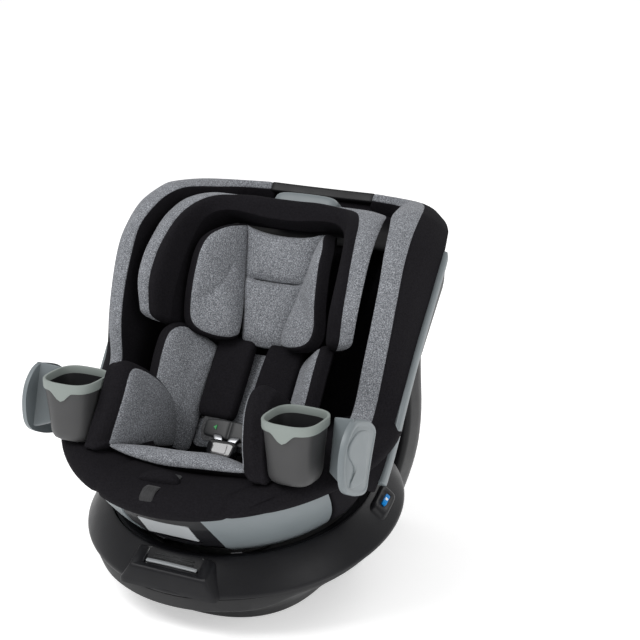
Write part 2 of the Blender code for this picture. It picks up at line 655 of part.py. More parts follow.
def build_harness():
    def shoulder_pad(name, side):
        rings = []
        for x, y, z in ((0.0500, 0.0715, 0.0640), (0.0495, 0.0705, 0.0560), (0.0485, 0.0660, 0.020),
                        (0.0470, 0.0610, -0.016), (0.0450, 0.0590, -0.030)):
            outline = rounded(rectangle(-0.025, 0.025, -0.0075, 0.0075), 0.006, 2)
            rings.append([(side * (x + u), y + v, z) for u, v in outline])
        return loft(name, rings, "black_knit", SEAT)

    both_sides(shoulder_pad, "shoulder_pad")

    def shoulder_strap(name, side):
        points = [(side * 0.045, 0.0570, -0.0305), (side * 0.043, 0.0555, -0.042), (side * 0.040, 0.0540, -0.0530)]
        return strap(name, points, 0.026, "webbing", SEAT)

    both_sides(shoulder_strap, "shoulder_strap")

    clip = extrusion("chest_clip", rounded(rectangle(-0.036, 0.036, -0.0765, -0.0535), 0.004, 2), "Y", 0.0450,
                     0.0580, "dark_grey", SEAT)
    boolean(clip, block("cut_clip_button", (-0.0104, 0.03, -0.0714), (0.0104, 0.0535, -0.0586), None, SEAT, True))
    extrusion("chest_clip_button", rounded(rectangle(-0.010, 0.010, -0.0710, -0.0590), 0.002, 2), "Y", 0.0435,
              0.0490, "gloss_black", SEAT)
    buckle = extrusion("buckle", rounded(rectangle(-0.0240, 0.0240, -0.1045, -0.0795), 0.004, 2), "Y", 0.0300,
                       0.0440, "dark_grey", SEAT)
    boolean(buckle, block("cut_buckle_button", (-0.0104, 0.02, -0.0994), (0.0104, 0.0390, -0.0856), None, SEAT,
                          True))
    extrusion("buckle_button", rounded(rectangle(-0.010, 0.010, -0.0990, -0.0860), 0.002, 2), "Y", 0.0280,
              0.0345, "release_red", SEAT)
    adjuster = extrusion("harness_adjuster", rounded(rectangle(-0.016, 0.016, -0.1880, -0.1700), 0.004, 2), "Z",
                         -0.0535, -0.0495, "dark_grey", BOWL)
    boolean(adjuster, block("cut_adjuster", (-0.0084, -0.1844, -0.0520), (0.0084, -0.1736, -0.04), None, BOWL,
                            True))
    extrusion("adjuster_button", rounded(rectangle(-0.0080, 0.0080, -0.1840, -0.1740), 0.002, 2), "Z", -0.0500,
              -0.0475, "release_red", BOWL)
    strap("adjuster_strap", [(0, -0.1910, -0.0470), (0, -0.2060, -0.0465), (0, -0.2200, -0.0470)], 0.019,
          "webbing", BOWL)


# ---- cup holders and belt guides ----------------------------------------------------------------
def cup_outline(width):
    half = width / 2
    return rounded(rectangle(-half, half, -half, half), 0.42 * half, 4)


def build_cups():
    def cup(name, side):
        centre = CUP_CENTRE
        stations = [(0.0, CUP_BASE - 0.012), (0.006, CUP_BASE - 0.002), (0.020, CUP_BASE + 0.003),
                    (CUP_TALL - 0.0162, CUP_TOP - 0.003)]
        rings = [[(side * CUP_X + u, centre[1] + v, centre[2] + h) for u, v in cup_outline(w)]
                 for h, w in stations]
        piece = loft(name, rings, "cup_charcoal", UPRIGHT)
        hollow = [(0.004, CUP_BASE - 0.016), (0.022, CUP_BASE - 0.003), (0.12, CUP_TOP - 0.006)]
        rings = [[(side * CUP_X + u, centre[1] + v, centre[2] + h) for u, v in cup_outline(w)]
                 for h, w in hollow]
        return boolean(piece, loft("cut_" + name, rings, None, UPRIGHT, True))

    both_sides(cup, "cup_holder")

    def ring(name, side):
        centre = CUP_CENTRE
        stations = [(CUP_TALL - 0.0158, CUP_TOP), (CUP_TALL - 0.002, CUP_TOP + 0.001), (CUP_TALL, CUP_TOP)]
        rings = [[(side * CUP_X + u, centre[1] + v, centre[2] + h) for u, v in cup_outline(w)]
                 for h, w in stations]
        piece = loft(name, rings, "cup_ring_sage", UPRIGHT)
        hollow = [(0.07, CUP_TOP - 0.009), (0.12, CUP_TOP - 0.007)]
        rings = [[(side * CUP_X + u, centre[1] + v, centre[2] + h) for u, v in cup_outline(w)]
                 for h, w in hollow]
        return boolean(piece, loft("cut_" + name, rings, None, UPRIGHT, True))

    both_sides(ring, "cup_ring")

    def guide(name, side):
        outline = rounded([(-0.078, -0.064), (-0.066, -0.050), (-0.020, -0.046), (0.004, -0.060), (0.012, -0.098),
                           (-0.006, -0.124), (-0.034, -0.134), (-0.048, -0.116), (-0.068, -0.108), (-0.078, -0.100)],
                          0.008, 3)
        piece = side_prism(name, side, outline, 0.2375, 0.2445, "shell_grey", SEAT)
        low, high = sorted((side * 0.2070, side * 0.2400))
        wrap = block("join_" + name, (low, -0.0778, -0.100), (high, -0.0680, -0.062), None, SEAT, True)
        return boolean(piece, wrap, "UNION")

    both_sides(guide, "belt_guide")


HEAD = frame_empty("headrest_slide", SEAT, (0, 0, 0), 0)
BOWL = frame_empty("bowl_frame", SEAT, (0, 0, 0), RECLINE)
DISH_FRAME = frame_empty("dish_frame", DECK, (0, 0, PIVOT_RISE), 0)
CUP_CENTRE = (0, -0.1275, -0.0735)

base_tray = build_base()
build_arm(base_tray)
build_bearing(base_tray)
build_lever()
build_turntable()
build_panels(build_bowl())
build_recline_handle()
build_wings()
build_back_shell()
build_pads()
build_headrest()
build_harness()
build_cups()
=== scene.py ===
"""Looks of the rotating child car seat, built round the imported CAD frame.

Soft pieces are modelled in the seat frame: X to the child's left, Y from the front to the child's back
and Z up along the back, with the recline axis as origin. Round lower pieces use the bowl frame, which is
the swivel's frame moved to the recline axis, and the base uses the deck frame at the deck's centre."""

import json
from math import cos, pi, radians, sin, sqrt

import bmesh
import bpy
from mathutils import Matrix, Vector


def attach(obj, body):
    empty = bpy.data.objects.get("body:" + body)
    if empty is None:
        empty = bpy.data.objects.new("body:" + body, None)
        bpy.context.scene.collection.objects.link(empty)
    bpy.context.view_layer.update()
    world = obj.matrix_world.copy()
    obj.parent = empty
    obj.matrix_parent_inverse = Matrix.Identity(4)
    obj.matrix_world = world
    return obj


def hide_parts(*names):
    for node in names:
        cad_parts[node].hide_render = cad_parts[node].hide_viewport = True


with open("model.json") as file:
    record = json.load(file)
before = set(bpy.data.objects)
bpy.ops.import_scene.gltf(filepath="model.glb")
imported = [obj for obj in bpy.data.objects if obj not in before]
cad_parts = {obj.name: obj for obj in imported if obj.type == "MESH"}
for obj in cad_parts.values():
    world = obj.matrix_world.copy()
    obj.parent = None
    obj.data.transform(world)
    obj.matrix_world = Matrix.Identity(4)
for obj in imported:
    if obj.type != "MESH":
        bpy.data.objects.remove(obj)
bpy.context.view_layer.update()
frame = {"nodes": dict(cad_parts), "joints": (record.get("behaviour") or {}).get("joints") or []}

# ---- frames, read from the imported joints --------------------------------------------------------
JOINTS = {joint["name"]: joint for joint in frame["joints"]}
DECK_TILT = radians(12)
SEAT_LEAN = radians(36)
DECK_CENTRE = Vector(JOINTS["swivel"]["pos_m"])
PIVOT = Vector(JOINTS["recline"]["pos_m"])
PIVOT_RISE = (PIVOT - DECK_CENTRE).length

WORLD = Matrix.Identity(4)
SEAT = Matrix.Translation(PIVOT) @ Matrix.Rotation(-SEAT_LEAN, 4, "X")
DECK = Matrix.Translation(DECK_CENTRE) @ Matrix.Rotation(DECK_TILT, 4, "X")
BOWL = DECK @ Matrix.Translation((0, 0, PIVOT_RISE))

PANEL_R = 0.236                 # outside of the grey panels on the round underside
BALL_R = 0.231                  # the hard underside itself


# ---- camera, light, floor -----------------------------------------------------------------------
def build_camera():
    data = bpy.data.cameras.new("camera")
    camera = bpy.data.objects.new("camera", data)
    bpy.context.scene.collection.objects.link(camera)
    azimuth, elevation = radians(28), radians(20)
    right = Vector((cos(azimuth), sin(azimuth), 0))
    forward = Vector((-sin(azimuth) * cos(elevation), cos(azimuth) * cos(elevation), -sin(elevation)))
    up = right.cross(forward)
    place = Matrix((right, up, -forward)).transposed().to_4x4()
    place.translation = (1.0665, -1.9473, 1.0691)
    camera.matrix_world = place
    data.sensor_width = 36
    data.lens = 95.625
    data.shift_x = 0.0859
    data.shift_y = 0.125
    bpy.context.scene.camera = camera


def area_light(name, place, target, size, power, tint=(1, 1, 1)):
    data = bpy.data.lights.new(name, "AREA")
    data.shape = "RECTANGLE"
    data.size, data.size_y = size
    data.energy = power
    data.color = tint
    lamp = bpy.data.objects.new(name, data)
    bpy.context.scene.collection.objects.link(lamp)
    lamp.location = place
    lamp.rotation_euler = (Vector(target) - Vector(place)).to_track_quat("-Z", "Y").to_euler()


def build_studio():
    world = bpy.data.worlds.new("studio")
    bpy.context.scene.world = world
    world.use_nodes = True
    world.node_tree.nodes["Background"].inputs["Color"].default_value = (1, 1, 1, 1)
    world.node_tree.nodes["Background"].inputs["Strength"].default_value = 0.62
    area_light("key", (-0.9, -1.5, 2.3), (0, 0, 0.25), (1.3, 1.3), 40)
    area_light("fill", (2.4, -1.2, 1.5), (0, 0, 0.25), (1.2, 1.6), 14)
    area_light("rim", (0.8, 1.9, 1.7), (0, 0, 0.3), (1.6, 0.8), 10)
    bpy.context.scene.view_settings.view_transform = "Standard"
    mesh = bpy.data.meshes.new("floor")
    reach = 14
    mesh.from_pydata([(-reach, -reach, 0), (reach, -reach, 0), (reach, reach, 0), (-reach, reach, 0)], [],
                     [(0, 1, 2, 3)])
    floor = bpy.data.objects.new("floor", mesh)
    bpy.context.scene.collection.objects.link(floor)
    floor.location.z = -0.0006
    surface, nodes, links, shader = new_shader("floor_paper", 0.9)
    shader.inputs["Base Color"].default_value = (0.9, 0.9, 0.9, 1)
    shader.inputs["Emission Color"].default_value = (1, 1, 1, 1)
    shader.inputs["Emission Strength"].default_value = 0.44
    mesh.materials.append(surface)


# ---- materials ----------------------------------------------------------------------------------
def new_shader(name, rough, metal=0.0, sheen=0.0, coat=0.0):
    material = bpy.data.materials.new(name)
    material.use_nodes = True
    nodes, links = material.node_tree.nodes, material.node_tree.links
    shader = nodes["Principled BSDF"]
    shader.inputs["Roughness"].default_value = rough
    shader.inputs["Metallic"].default_value = metal
    shader.inputs["Sheen Weight"].default_value = sheen
    shader.inputs["Sheen Roughness"].default_value = 0.45
    shader.inputs["Coat Weight"].default_value = coat
    return material, nodes, links, shader


def noise(nodes, links, scale, detail=2.0, rough=0.5, squash=None):
    coords = nodes.new("ShaderNodeTexCoord")
    texture = nodes.new("ShaderNodeTexNoise")
    texture.inputs["Scale"].default_value = scale
    texture.inputs["Detail"].default_value = detail
    texture.inputs["Roughness"].default_value = rough
    if squash:
        mapping = nodes.new("ShaderNodeMapping")
        mapping.inputs["Scale"].default_value = squash
        links.new(coords.outputs["Object"], mapping.inputs["Vector"])
        links.new(mapping.outputs["Vector"], texture.inputs["Vector"])
    else:
        links.new(coords.outputs["Object"], texture.inputs["Vector"])
    return texture.outputs["Fac"]


def ramp(nodes, links, value, stops):
    node = nodes.new("ShaderNodeValToRGB")
    while len(node.color_ramp.elements) < len(stops):
        node.color_ramp.elements.new(0.5)
    for element, (place, colour) in zip(node.color_ramp.elements, stops):
        element.position = place
        element.color = (*colour, 1)
    links.new(value, node.inputs["Fac"])
    return node.outputs["Color"]


def bump(nodes, links, shader, height, strength, distance):
    node = nodes.new("ShaderNodeBump")
    node.inputs["Strength"].default_value = strength
    node.inputs["Distance"].default_value = distance
    links.new(height, node.inputs["Height"])
    links.new(node.outputs["Normal"], shader.inputs["Normal"])


def heather(name):
    """Grey melange knit: light and dark fibres of about 1 mm over a slow tonal drift."""
    material, nodes, links, shader = new_shader(name, 0.95, sheen=0.08)
    shader.inputs["Specular IOR Level"].default_value = 0.15
    fibres = noise(nodes, links, 640, 4.0, 0.72)
    dark, middle, light = (0.06, 0.063, 0.071), (0.172, 0.18, 0.196), (0.42, 0.434, 0.462)
    melange = ramp(nodes, links, fibres, [(0.34, dark), (0.5, middle), (0.66, light)])
    drift = ramp(nodes, links, noise(nodes, links, 22, 1.0), [(0.3, (0.9, 0.9, 0.9)), (0.7, (1, 1, 1))])
    shaded = nodes.new("ShaderNodeMix")
    shaded.data_type = "RGBA"
    shaded.blend_type = "MULTIPLY"
    shaded.inputs[0].default_value = 1.0
    links.new(melange, shaded.inputs[6])
    links.new(drift, shaded.inputs[7])
    links.new(shaded.outputs[2], shader.inputs["Base Color"])
    bump(nodes, links, shader, noise(nodes, links, 1100, 2.0), 0.3, 0.001)
    return material


def black_knit(name):
    """Matte black spacer knit."""
    material, nodes, links, shader = new_shader(name, 0.93)
    shader.inputs["Specular IOR Level"].default_value = 0.07
    dark, light = (0.0068, 0.0062, 0.0076), (0.012, 0.0112, 0.0134)
    tone = ramp(nodes, links, noise(nodes, links, 480, 3.0, 0.6), [(0.35, dark), (0.68, light)])
    links.new(tone, shader.inputs["Base Color"])
    bump(nodes, links, shader, noise(nodes, links, 1100, 2.0), 0.35, 0.001)
    return material


def moulded(name, colour, rough, grain=900, depth=0.25, spread=0.06, coat=0.0, shine=0.5):
    """Moulded plastic with a fine spark-eroded grain and slightly uneven gloss."""
    material, nodes, links, shader = new_shader(name, rough, coat=coat)
    shader.inputs["Specular IOR Level"].default_value = shine
    worn = tuple(min(1.0, c * (1 + spread) + 0.002) for c in colour)
    tone = ramp(nodes, links, noise(nodes, links, 14, 3.0, 0.55), [(0.35, colour), (0.7, worn)])
    links.new(tone, shader.inputs["Base Color"])
    gloss = nodes.new("ShaderNodeMapRange")
    gloss.inputs["To Min"].default_value = max(0.04, rough - 0.07)
    gloss.inputs["To Max"].default_value = min(1.0, rough + 0.07)
    links.new(noise(nodes, links, 38, 2.0), gloss.inputs["Value"])
    links.new(gloss.outputs["Result"], shader.inputs["Roughness"])
    bump(nodes, links, shader, noise(nodes, links, grain, 2.0), depth, 0.0004)
    return material


def brushed(name, colour, rough, along):
    material, nodes, links, shader = new_shader(name, rough, metal=1.0)
    streaks = noise(nodes, links, 260, 2.0, 0.6, along)
    dull = tuple(0.72 * c for c in colour)
    links.new(ramp(nodes, links, streaks, [(0.3, dull), (0.7, colour)]), shader.inputs["Base Color"])
    bump(nodes, links, shader, streaks, 0.12, 0.0003)
    return material


def woven(name, dark, light):
    """Belt webbing: fine ribs along and across the belt."""
    material, nodes, links, shader = new_shader(name, 0.75, sheen=0.15)
    ribs = noise(nodes, links, 700, 1.0, 0.5, (1.0, 0.25, 0.25))
    links.new(ramp(nodes, links, ribs, [(0.35, dark), (0.65, light)]), shader.inputs["Base Color"])
    bump(nodes, links, shader, ribs, 0.5, 0.0008)
    return material


build_camera()
build_studio()

HEATHER = heather("heather_grey_knit")
BLACK = black_knit("black_spacer_knit")
SHELL_GREY = moulded("shell_grey_plastic", (0.15, 0.172, 0.182), 0.42, 700, 0.2)
HANDLE_GREY = moulded("handle_light_grey", (0.335, 0.35, 0.362), 0.42, 900, 0.15)
CUP_BODY = moulded("cup_charcoal_plastic", (0.031, 0.031, 0.032), 0.48, 800, 0.2)
CUP_RIM = moulded("cup_sage_rim", (0.205, 0.232, 0.218), 0.5, 800, 0.15)
DECK_BLACK = moulded("deck_black_satin", (0.007, 0.007, 0.0085), 0.37, 650, 0.3, shine=0.2)
TRAY_BLACK = moulded("tray_dark_grey", (0.016, 0.016, 0.017), 0.55, 520, 0.5, shine=0.25)
ARM_BLACK = moulded("arm_black_plastic", (0.006, 0.006, 0.007), 0.45, 600, 0.4, shine=0.22)
GLOSS_BLACK = moulded("piano_black_plastic", (0.006, 0.006, 0.007), 0.12, 400, 0.02, coat=0.5)
BUCKLE_GREY = moulded("buckle_dark_grey", (0.022, 0.023, 0.024), 0.45, 800, 0.2, shine=0.35)
RUBBER = moulded("foot_rubber", (0.016, 0.016, 0.016), 0.85, 420, 0.6)
STEEL = brushed("brushed_steel", (0.24, 0.245, 0.255), 0.3, (1.0, 0.08, 1.0))
BELT_PANEL = brushed("belt_panel_metal", (0.42, 0.43, 0.45), 0.38, (0.06, 1.0, 1.0))
BLUE = moulded("indicator_blue_lens", (0.001, 0.22, 0.62), 0.3, 300, 0.02, shine=0.15)
WHITE_MARK = moulded("indicator_white_mark", (0.8, 0.84, 0.88), 0.4, 500, 0.05)
GREEN_MARK = moulded("clip_green_mark", (0.01, 0.28, 0.06), 0.45, 500, 0.05)
# Darker copy of the cup plastic for the inner wall: painted shade inside the cup holders.
CUP_INSIDE_SHADE = moulded("cup_inside_painted_shade", (0.006, 0.0062, 0.007), 0.5, 700, 0.2)
BELT_DARK = woven("adjuster_webbing", (0.006, 0.006, 0.007), (0.016, 0.016, 0.018))
WEBBING = woven("harness_webbing", (0.02, 0.02, 0.022), (0.06, 0.061, 0.064))


# ---- mesh helpers -------------------------------------------------------------------------------
SEAMS = {}                      # seam vertices of the pillow lobes, which alone are inflated
CLOTH_FRAMES = 20
MOST_SHIFT = 0.0045             # farthest that the simulation may move a vertex; it moves them by under 2 mm


def inflate():
    """Cloth simulation of the pillow lobes, with pressure: seams stay put and the faces fill out slightly."""
    scene = bpy.context.scene
    pieces = [bpy.data.objects[name] for name in SEAMS]
    for piece in pieces:
        group = piece.vertex_groups.new(name="seams")
        group.add(SEAMS[piece.name], 1.0, "REPLACE")
        for modifier in piece.modifiers:
            modifier.show_viewport = False
        cloth = piece.modifiers.new("cloth", "CLOTH")
        piece.modifiers.move(len(piece.modifiers) - 1, 0)
        cloth.settings.use_pressure = True
        cloth.settings.uniform_pressure_force = 3.5
        cloth.settings.vertex_group_mass = "seams"
        cloth.settings.effector_weights.gravity = 0
        cloth.settings.quality = 6
        cloth.settings.tension_stiffness = 22
        cloth.settings.compression_stiffness = 22
        cloth.settings.bending_stiffness = 0.8
        cloth.collision_settings.use_collision = False
        cloth.point_cache.frame_start = 1
        cloth.point_cache.frame_end = CLOTH_FRAMES
    for number in range(1, CLOTH_FRAMES + 1):
        scene.frame_set(number)
    graph = bpy.context.evaluated_depsgraph_get()
    for piece in pieces:
        moved = [v.co.copy() for v in piece.evaluated_get(graph).data.vertices]
        for vert, target in zip(piece.data.vertices, moved):
            step = target - vert.co
            if step.length > MOST_SHIFT:
                step *= MOST_SHIFT / step.length
            vert.co += step
        piece.modifiers.remove(piece.modifiers["cloth"])
        for modifier in piece.modifiers:
            modifier.show_viewport = True
    scene.frame_set(1)


def catmull(points, t, closed=False):
    """Point at t (0 to 1) along a smooth curve through the given points."""
    count = len(points)
    spans = count if closed else count - 1
    place = min(max(t, 0.0), 1.0) * spans
    i = min(int(place), spans - 1)
    f = place - i
    if closed:
        a, b, c, d = (points[(i + k) % count] for k in (-1, 0, 1, 2))
    else:
        b, c = points[i], points[i + 1]
        a = points[i - 1] if i > 0 else b * 2 - c
        d = points[i + 2] if i + 2 < count else c * 2 - b
    return 0.5 * (2 * b + (c - a) * f + (2 * a - 5 * b + 4 * c - d) * f ** 2 + (3 * b - a - 3 * c + d) * f ** 3)


def vectors(points):
    return [Vector(p) for p in points]


def sampled(points, count, closed=False):
    points = vectors(points)
    last = count if closed else count - 1
    return [catmull(points, k / last, closed) for k in range(count)]


def add_piece(name, bm, tones, body, replaced=(), subdivide=0, sharp=40):
    """Turns a bmesh in world coordinates into a piece that rides on a body."""
    bmesh.ops.recalc_face_normals(bm, faces=bm.faces)
    if bm.calc_volume(signed=True) < 0:
        bmesh.ops.reverse_faces(bm, faces=bm.faces)
    mesh = bpy.data.meshes.new(name)
    bm.to_mesh(mesh)
    bm.free()
    piece = bpy.data.objects.new(name, mesh)
    bpy.context.scene.collection.objects.link(piece)
    for tone in tones:
        mesh.materials.append(tone)
    mesh.shade_smooth()
    if sharp:
        mesh.set_sharp_from_angle(angle=radians(sharp))
    if subdivide:
        modifier = piece.modifiers.new("smooth", "SUBSURF")
        modifier.levels = modifier.render_levels = subdivide
    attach(piece, body)
    if replaced:
        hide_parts(*replaced)
    return piece


def skin_rows(bm, rows, tone_of):
    """Quads between neighbouring closed rows of vertices, with a material per column."""
    count = len(rows[0])
    for lower, upper in zip(rows, rows[1:]):
        for k in range(count):
            n = (k + 1) % count
            bm.faces.new((lower[k], lower[n], upper[n], upper[k])).material_index = tone_of[k]


def close_row(bm, row, tip, tone_of):
    """A fan of triangles from a closed row to a tip."""
    for k, vert in enumerate(row):
        bm.faces.new((vert, row[(k + 1) % len(row)], tip)).material_index = tone_of[k]


def dome_end(bm, row, outward, tone_of, bulge):
    """Closes a ring of vertices with a rounded end that stands proud by bulge."""
    centre = sum((v.co for v in row), Vector()) / len(row)
    previous = row
    for turn in (25, 50, 72):
        size = cos(radians(turn)) ** 0.8
        lift = outward * bulge * sin(radians(turn))
        ring = [bm.verts.new(centre + (v.co - centre) * size + lift) for v in row]
        skin_rows(bm, [previous, ring], tone_of)
        previous = ring
    close_row(bm, previous, bm.verts.new(centre + outward * bulge), tone_of)


PANEL_STEPS = (0.0, 0.035, 0.12, 0.27, 0.42, 0.58, 0.73, 0.88, 0.965)


def quilt(name, stations, tones, panel_tones, body, rows, seam, ends, replaced=(), side=1, stitched=()):
    """A padded form through stations. Each station is a list of panels, and each panel a list of points that
    starts on one seam; the next panel starts on the next seam. A seam sinks in by the seam depth."""
    panel_count = len(stations[0])
    columns, tone_of, on_seam = [], [], []
    for p in range(panel_count):
        for t in PANEL_STEPS:
            line = []
            for station in stations:
                panel = vectors(station[p]) + [Vector(station[(p + 1) % panel_count][0])]
                line.append(catmull(panel, t))
            columns.append(line)
            tone_of.append(panel_tones[p])
            on_seam.append(t == 0.0 and p in stitched)
    bm = bmesh.new()
    grid = []
    for r in range(rows):
        row = []
        for line in columns:
            point = catmull(line, r / (rows - 1))
            row.append(bm.verts.new(SEAT @ Vector((side * point.x, point.y, point.z))))
        grid.append(row)
    skin_rows(bm, grid, tone_of)
    bm.normal_update()
    bm.verts.ensure_lookup_table()
    middles = [sum((v.co for v in row), Vector()) / len(row) for row in grid]
    for row, middle in zip(grid, middles):
        for vert, sunk in zip(row, on_seam):
            if sunk:
                inward = vert.normal
                if inward.dot(vert.co - middle) < 0:
                    inward = -inward
                vert.co -= inward * seam
    for row, neighbour in ((grid[0], 1), (grid[-1], -2)):
        centre = middles[0] if neighbour == 1 else middles[-1]
        outward = (centre - middles[neighbour]).normalized()
        dome_end(bm, row, outward, tone_of, ends)
    return add_piece(name, bm, tones, body, replaced, 1, sharp=None)


def cushion(name, outline, place, tones, body, crown, depth, replaced=(), count=64):
    """A crowned pad. outline is a closed list of (u, v); place(u, v, w) gives seat coordinates, and w is the
    height over the seam plane. tones are the face's and the wall's and back's materials."""
    rings, seam, swell, flat = 9, 0.0008, 0.0015, 2.2
    rim = sampled([(u, v, 0) for u, v in outline], count, True)
    middle = sum(rim, Vector()) / count
    bm = bmesh.new()

    def ring(scale, height):
        row = []
        for point in rim:
            p = middle + (point - middle) * scale
            row.append(bm.verts.new(SEAT @ Vector(place(p.x, p.y, height))))
        return row

    def crowned(scale, amount):
        return amount * (1 - scale ** flat) ** 0.62

    mean = sum((p - middle).length for p in rim) / count
    face = [ring(k / rings, crowned(k / rings, crown)) for k in range(1, rings)]
    face.append(ring(1 - 0.0022 / mean, crowned(1 - 0.0022 / mean, crown) * 0.55))
    face.append(ring(1.0 - seam / mean, -seam))
    swollen = 1 + swell / mean
    wall = [face[-1], ring(swollen, -0.0018), ring(swollen + 0.4 * swell / mean, -depth * 0.5),
            ring(swollen, -depth)]
    wall += [ring(k / rings, -depth) for k in range(rings - 1, 0, -2)]
    skin_rows(bm, face, [0] * count)
    skin_rows(bm, wall, [1] * count)
    for row, tone, height in ((face[0], 0, crown), (wall[-1], 1, -depth)):
        tip = bm.verts.new(SEAT @ Vector(place(middle.x, middle.y, height)))
        close_row(bm, row, tip, [tone] * count)
    return add_piece(name, bm, tones, body, replaced, 1, sharp=None)


def pad(name, rim, normal, body, crown, depth, back, swell, side, replaced, flat, inflated=False):
    """A heather pad on a rim of points in space. The face bulges along normal, and the black wall behind the
    seam swells out by swell over its depth before it closes."""
    count, rings, seam = 96, 10, 0.0012
    line = sampled(rim, count, True)
    up = Vector(normal).normalized()
    middle = sum(line, Vector()) / count
    mean = sum((p - middle).length for p in line) / count
    bm = bmesh.new()

    def ring(scale, height):
        row = []
        for point in line:
            q = middle + (point - middle) * scale + up * height
            row.append(bm.verts.new(SEAT @ Vector((side * q.x, q.y, q.z))))
        return row

    def crowned(scale, amount):
        return amount * (1 - scale ** flat) ** 0.62

    face = [ring(k / rings, crowned(k / rings, crown)) for k in range(1, rings)]
    face += [ring(1 - 0.0045 / mean, crowned(1 - 0.0045 / mean, crown) * 0.8), ring(1 - 0.001 / mean, 0.0)]
    face.append(ring(1 - seam / mean, -seam))
    wall = [face[-1]]
    for t in (0.06, 0.18, 0.35, 0.55, 0.75, 0.9, 1.0):
        wall.append(ring(1 + (0.0012 + swell * sin(pi * min(t, 0.75))) / mean, -seam - depth * t))
    wall += [ring(k / rings, -seam - depth - crowned(k / rings, back)) for k in range(rings - 1, 0, -2)]
    skin_rows(bm, face, [0] * count)
    skin_rows(bm, wall, [1] * count)
    for row, tone, height in ((face[0], 0, crown), (wall[-1], 1, -seam - depth - back)):
        q = middle + up * height
        tip = bm.verts.new(SEAT @ Vector((side * q.x, q.y, q.z)))
        close_row(bm, row, tip, [tone] * count)
    if inflated:
        bm.verts.index_update()
        SEAMS[name] = [v.index for row in (wall[0], *wall[2:]) for v in row] + [tip.index]
    return add_piece(name, bm, [HEATHER, BLACK], body, replaced, 1, sharp=None)


def revolve(name, profile, tones, body, steps, replaced, frame_of, sharp):
    """A closed profile of (radius, height) turned about the frame's Z axis."""
    bm = bmesh.new()
    columns = []
    for k in range(steps):
        turn = 2 * pi * k / steps
        columns.append([bm.verts.new(frame_of @ Vector((r * cos(turn), r * sin(turn), h))) for r,
                        h in profile])
    skin_rows(bm, columns + [columns[0]], [0] * len(profile))
    return add_piece(name, bm, tones, body, replaced, 0, sharp)


def lathe_free(name, rows, tones, body, replaced=(), frame_of=SEAT, side=1, subdivide=0, sharp=35,
               row_tones=None,
               capped=True):
    """A skin through closed rows of equally many points; both ends close on their middle."""
    bm = bmesh.new()
    grid = []
    for row in rows:
        grid.append([bm.verts.new(frame_of @ Vector((side * p[0], p[1], p[2]))) for p in row])
    count = len(grid[0])
    row_tones = row_tones or [0] * (len(grid) - 1)
    for lower, upper, tone in zip(grid, grid[1:], row_tones):
        skin_rows(bm, [lower, upper], [tone] * count)
    if capped:
        for row, tone in ((grid[0], row_tones[0]), (grid[-1], row_tones[-1])):
            close_row(bm, row, bm.verts.new(sum((v.co for v in row), Vector()) / count), [tone] * count)
    return add_piece(name, bm, tones, body, replaced, subdivide, sharp)


def bent_bar(name, centre_line, section, tones, body, replaced=(), frame_of=SEAT, side=1):
    """A section of (along across, along thickness) points swept along a line of points."""
    line = vectors(centre_line)
    across = Vector((1, 0, 0))
    rows = []
    for i, here in enumerate(line):
        ahead = line[min(i + 1, len(line) - 1)] - line[max(i - 1, 0)]
        lift = ahead.cross(across).normalized()
        rows.append([here + across * u + lift * v for u, v in section])
    return lathe_free(name, rows, tones, body, replaced, frame_of, side, 1, None)


def round_section(half, thick, corner, steps=4):
    """Points of a rounded rectangle of the given half width and half thickness."""
    points = []
    for cu, cv, start in ((1, 1, 0), (-1, 1, 90), (-1, -1, 180), (1, -1, 270)):
        for k in range(steps + 1):
            turn = radians(start + 90 * k / steps)
            points.append((cu * (half - corner) + corner * cos(turn),
                           cv * (thick - corner) + corner * sin(turn)))
    return points


SIDES = ((-1, "left"), (1, "right"))


def pair(make):
    """Runs a maker for the left (-X) and the right (+X) side."""
    return [make(side, word) for side, word in SIDES]


def both_sides(name, rows, tone, replaced=None, frame_of=SEAT, body="seat", subdivide=0,
               sharp=None):
    """The same skin on the left and on the right; replaced is its CAD node's name less the side."""
    for side, word in SIDES:
        nodes = (replaced + word,) if replaced else ()
        piece = lathe_free(name + word, rows, [tone], body, nodes, frame_of, side, subdivide, sharp)


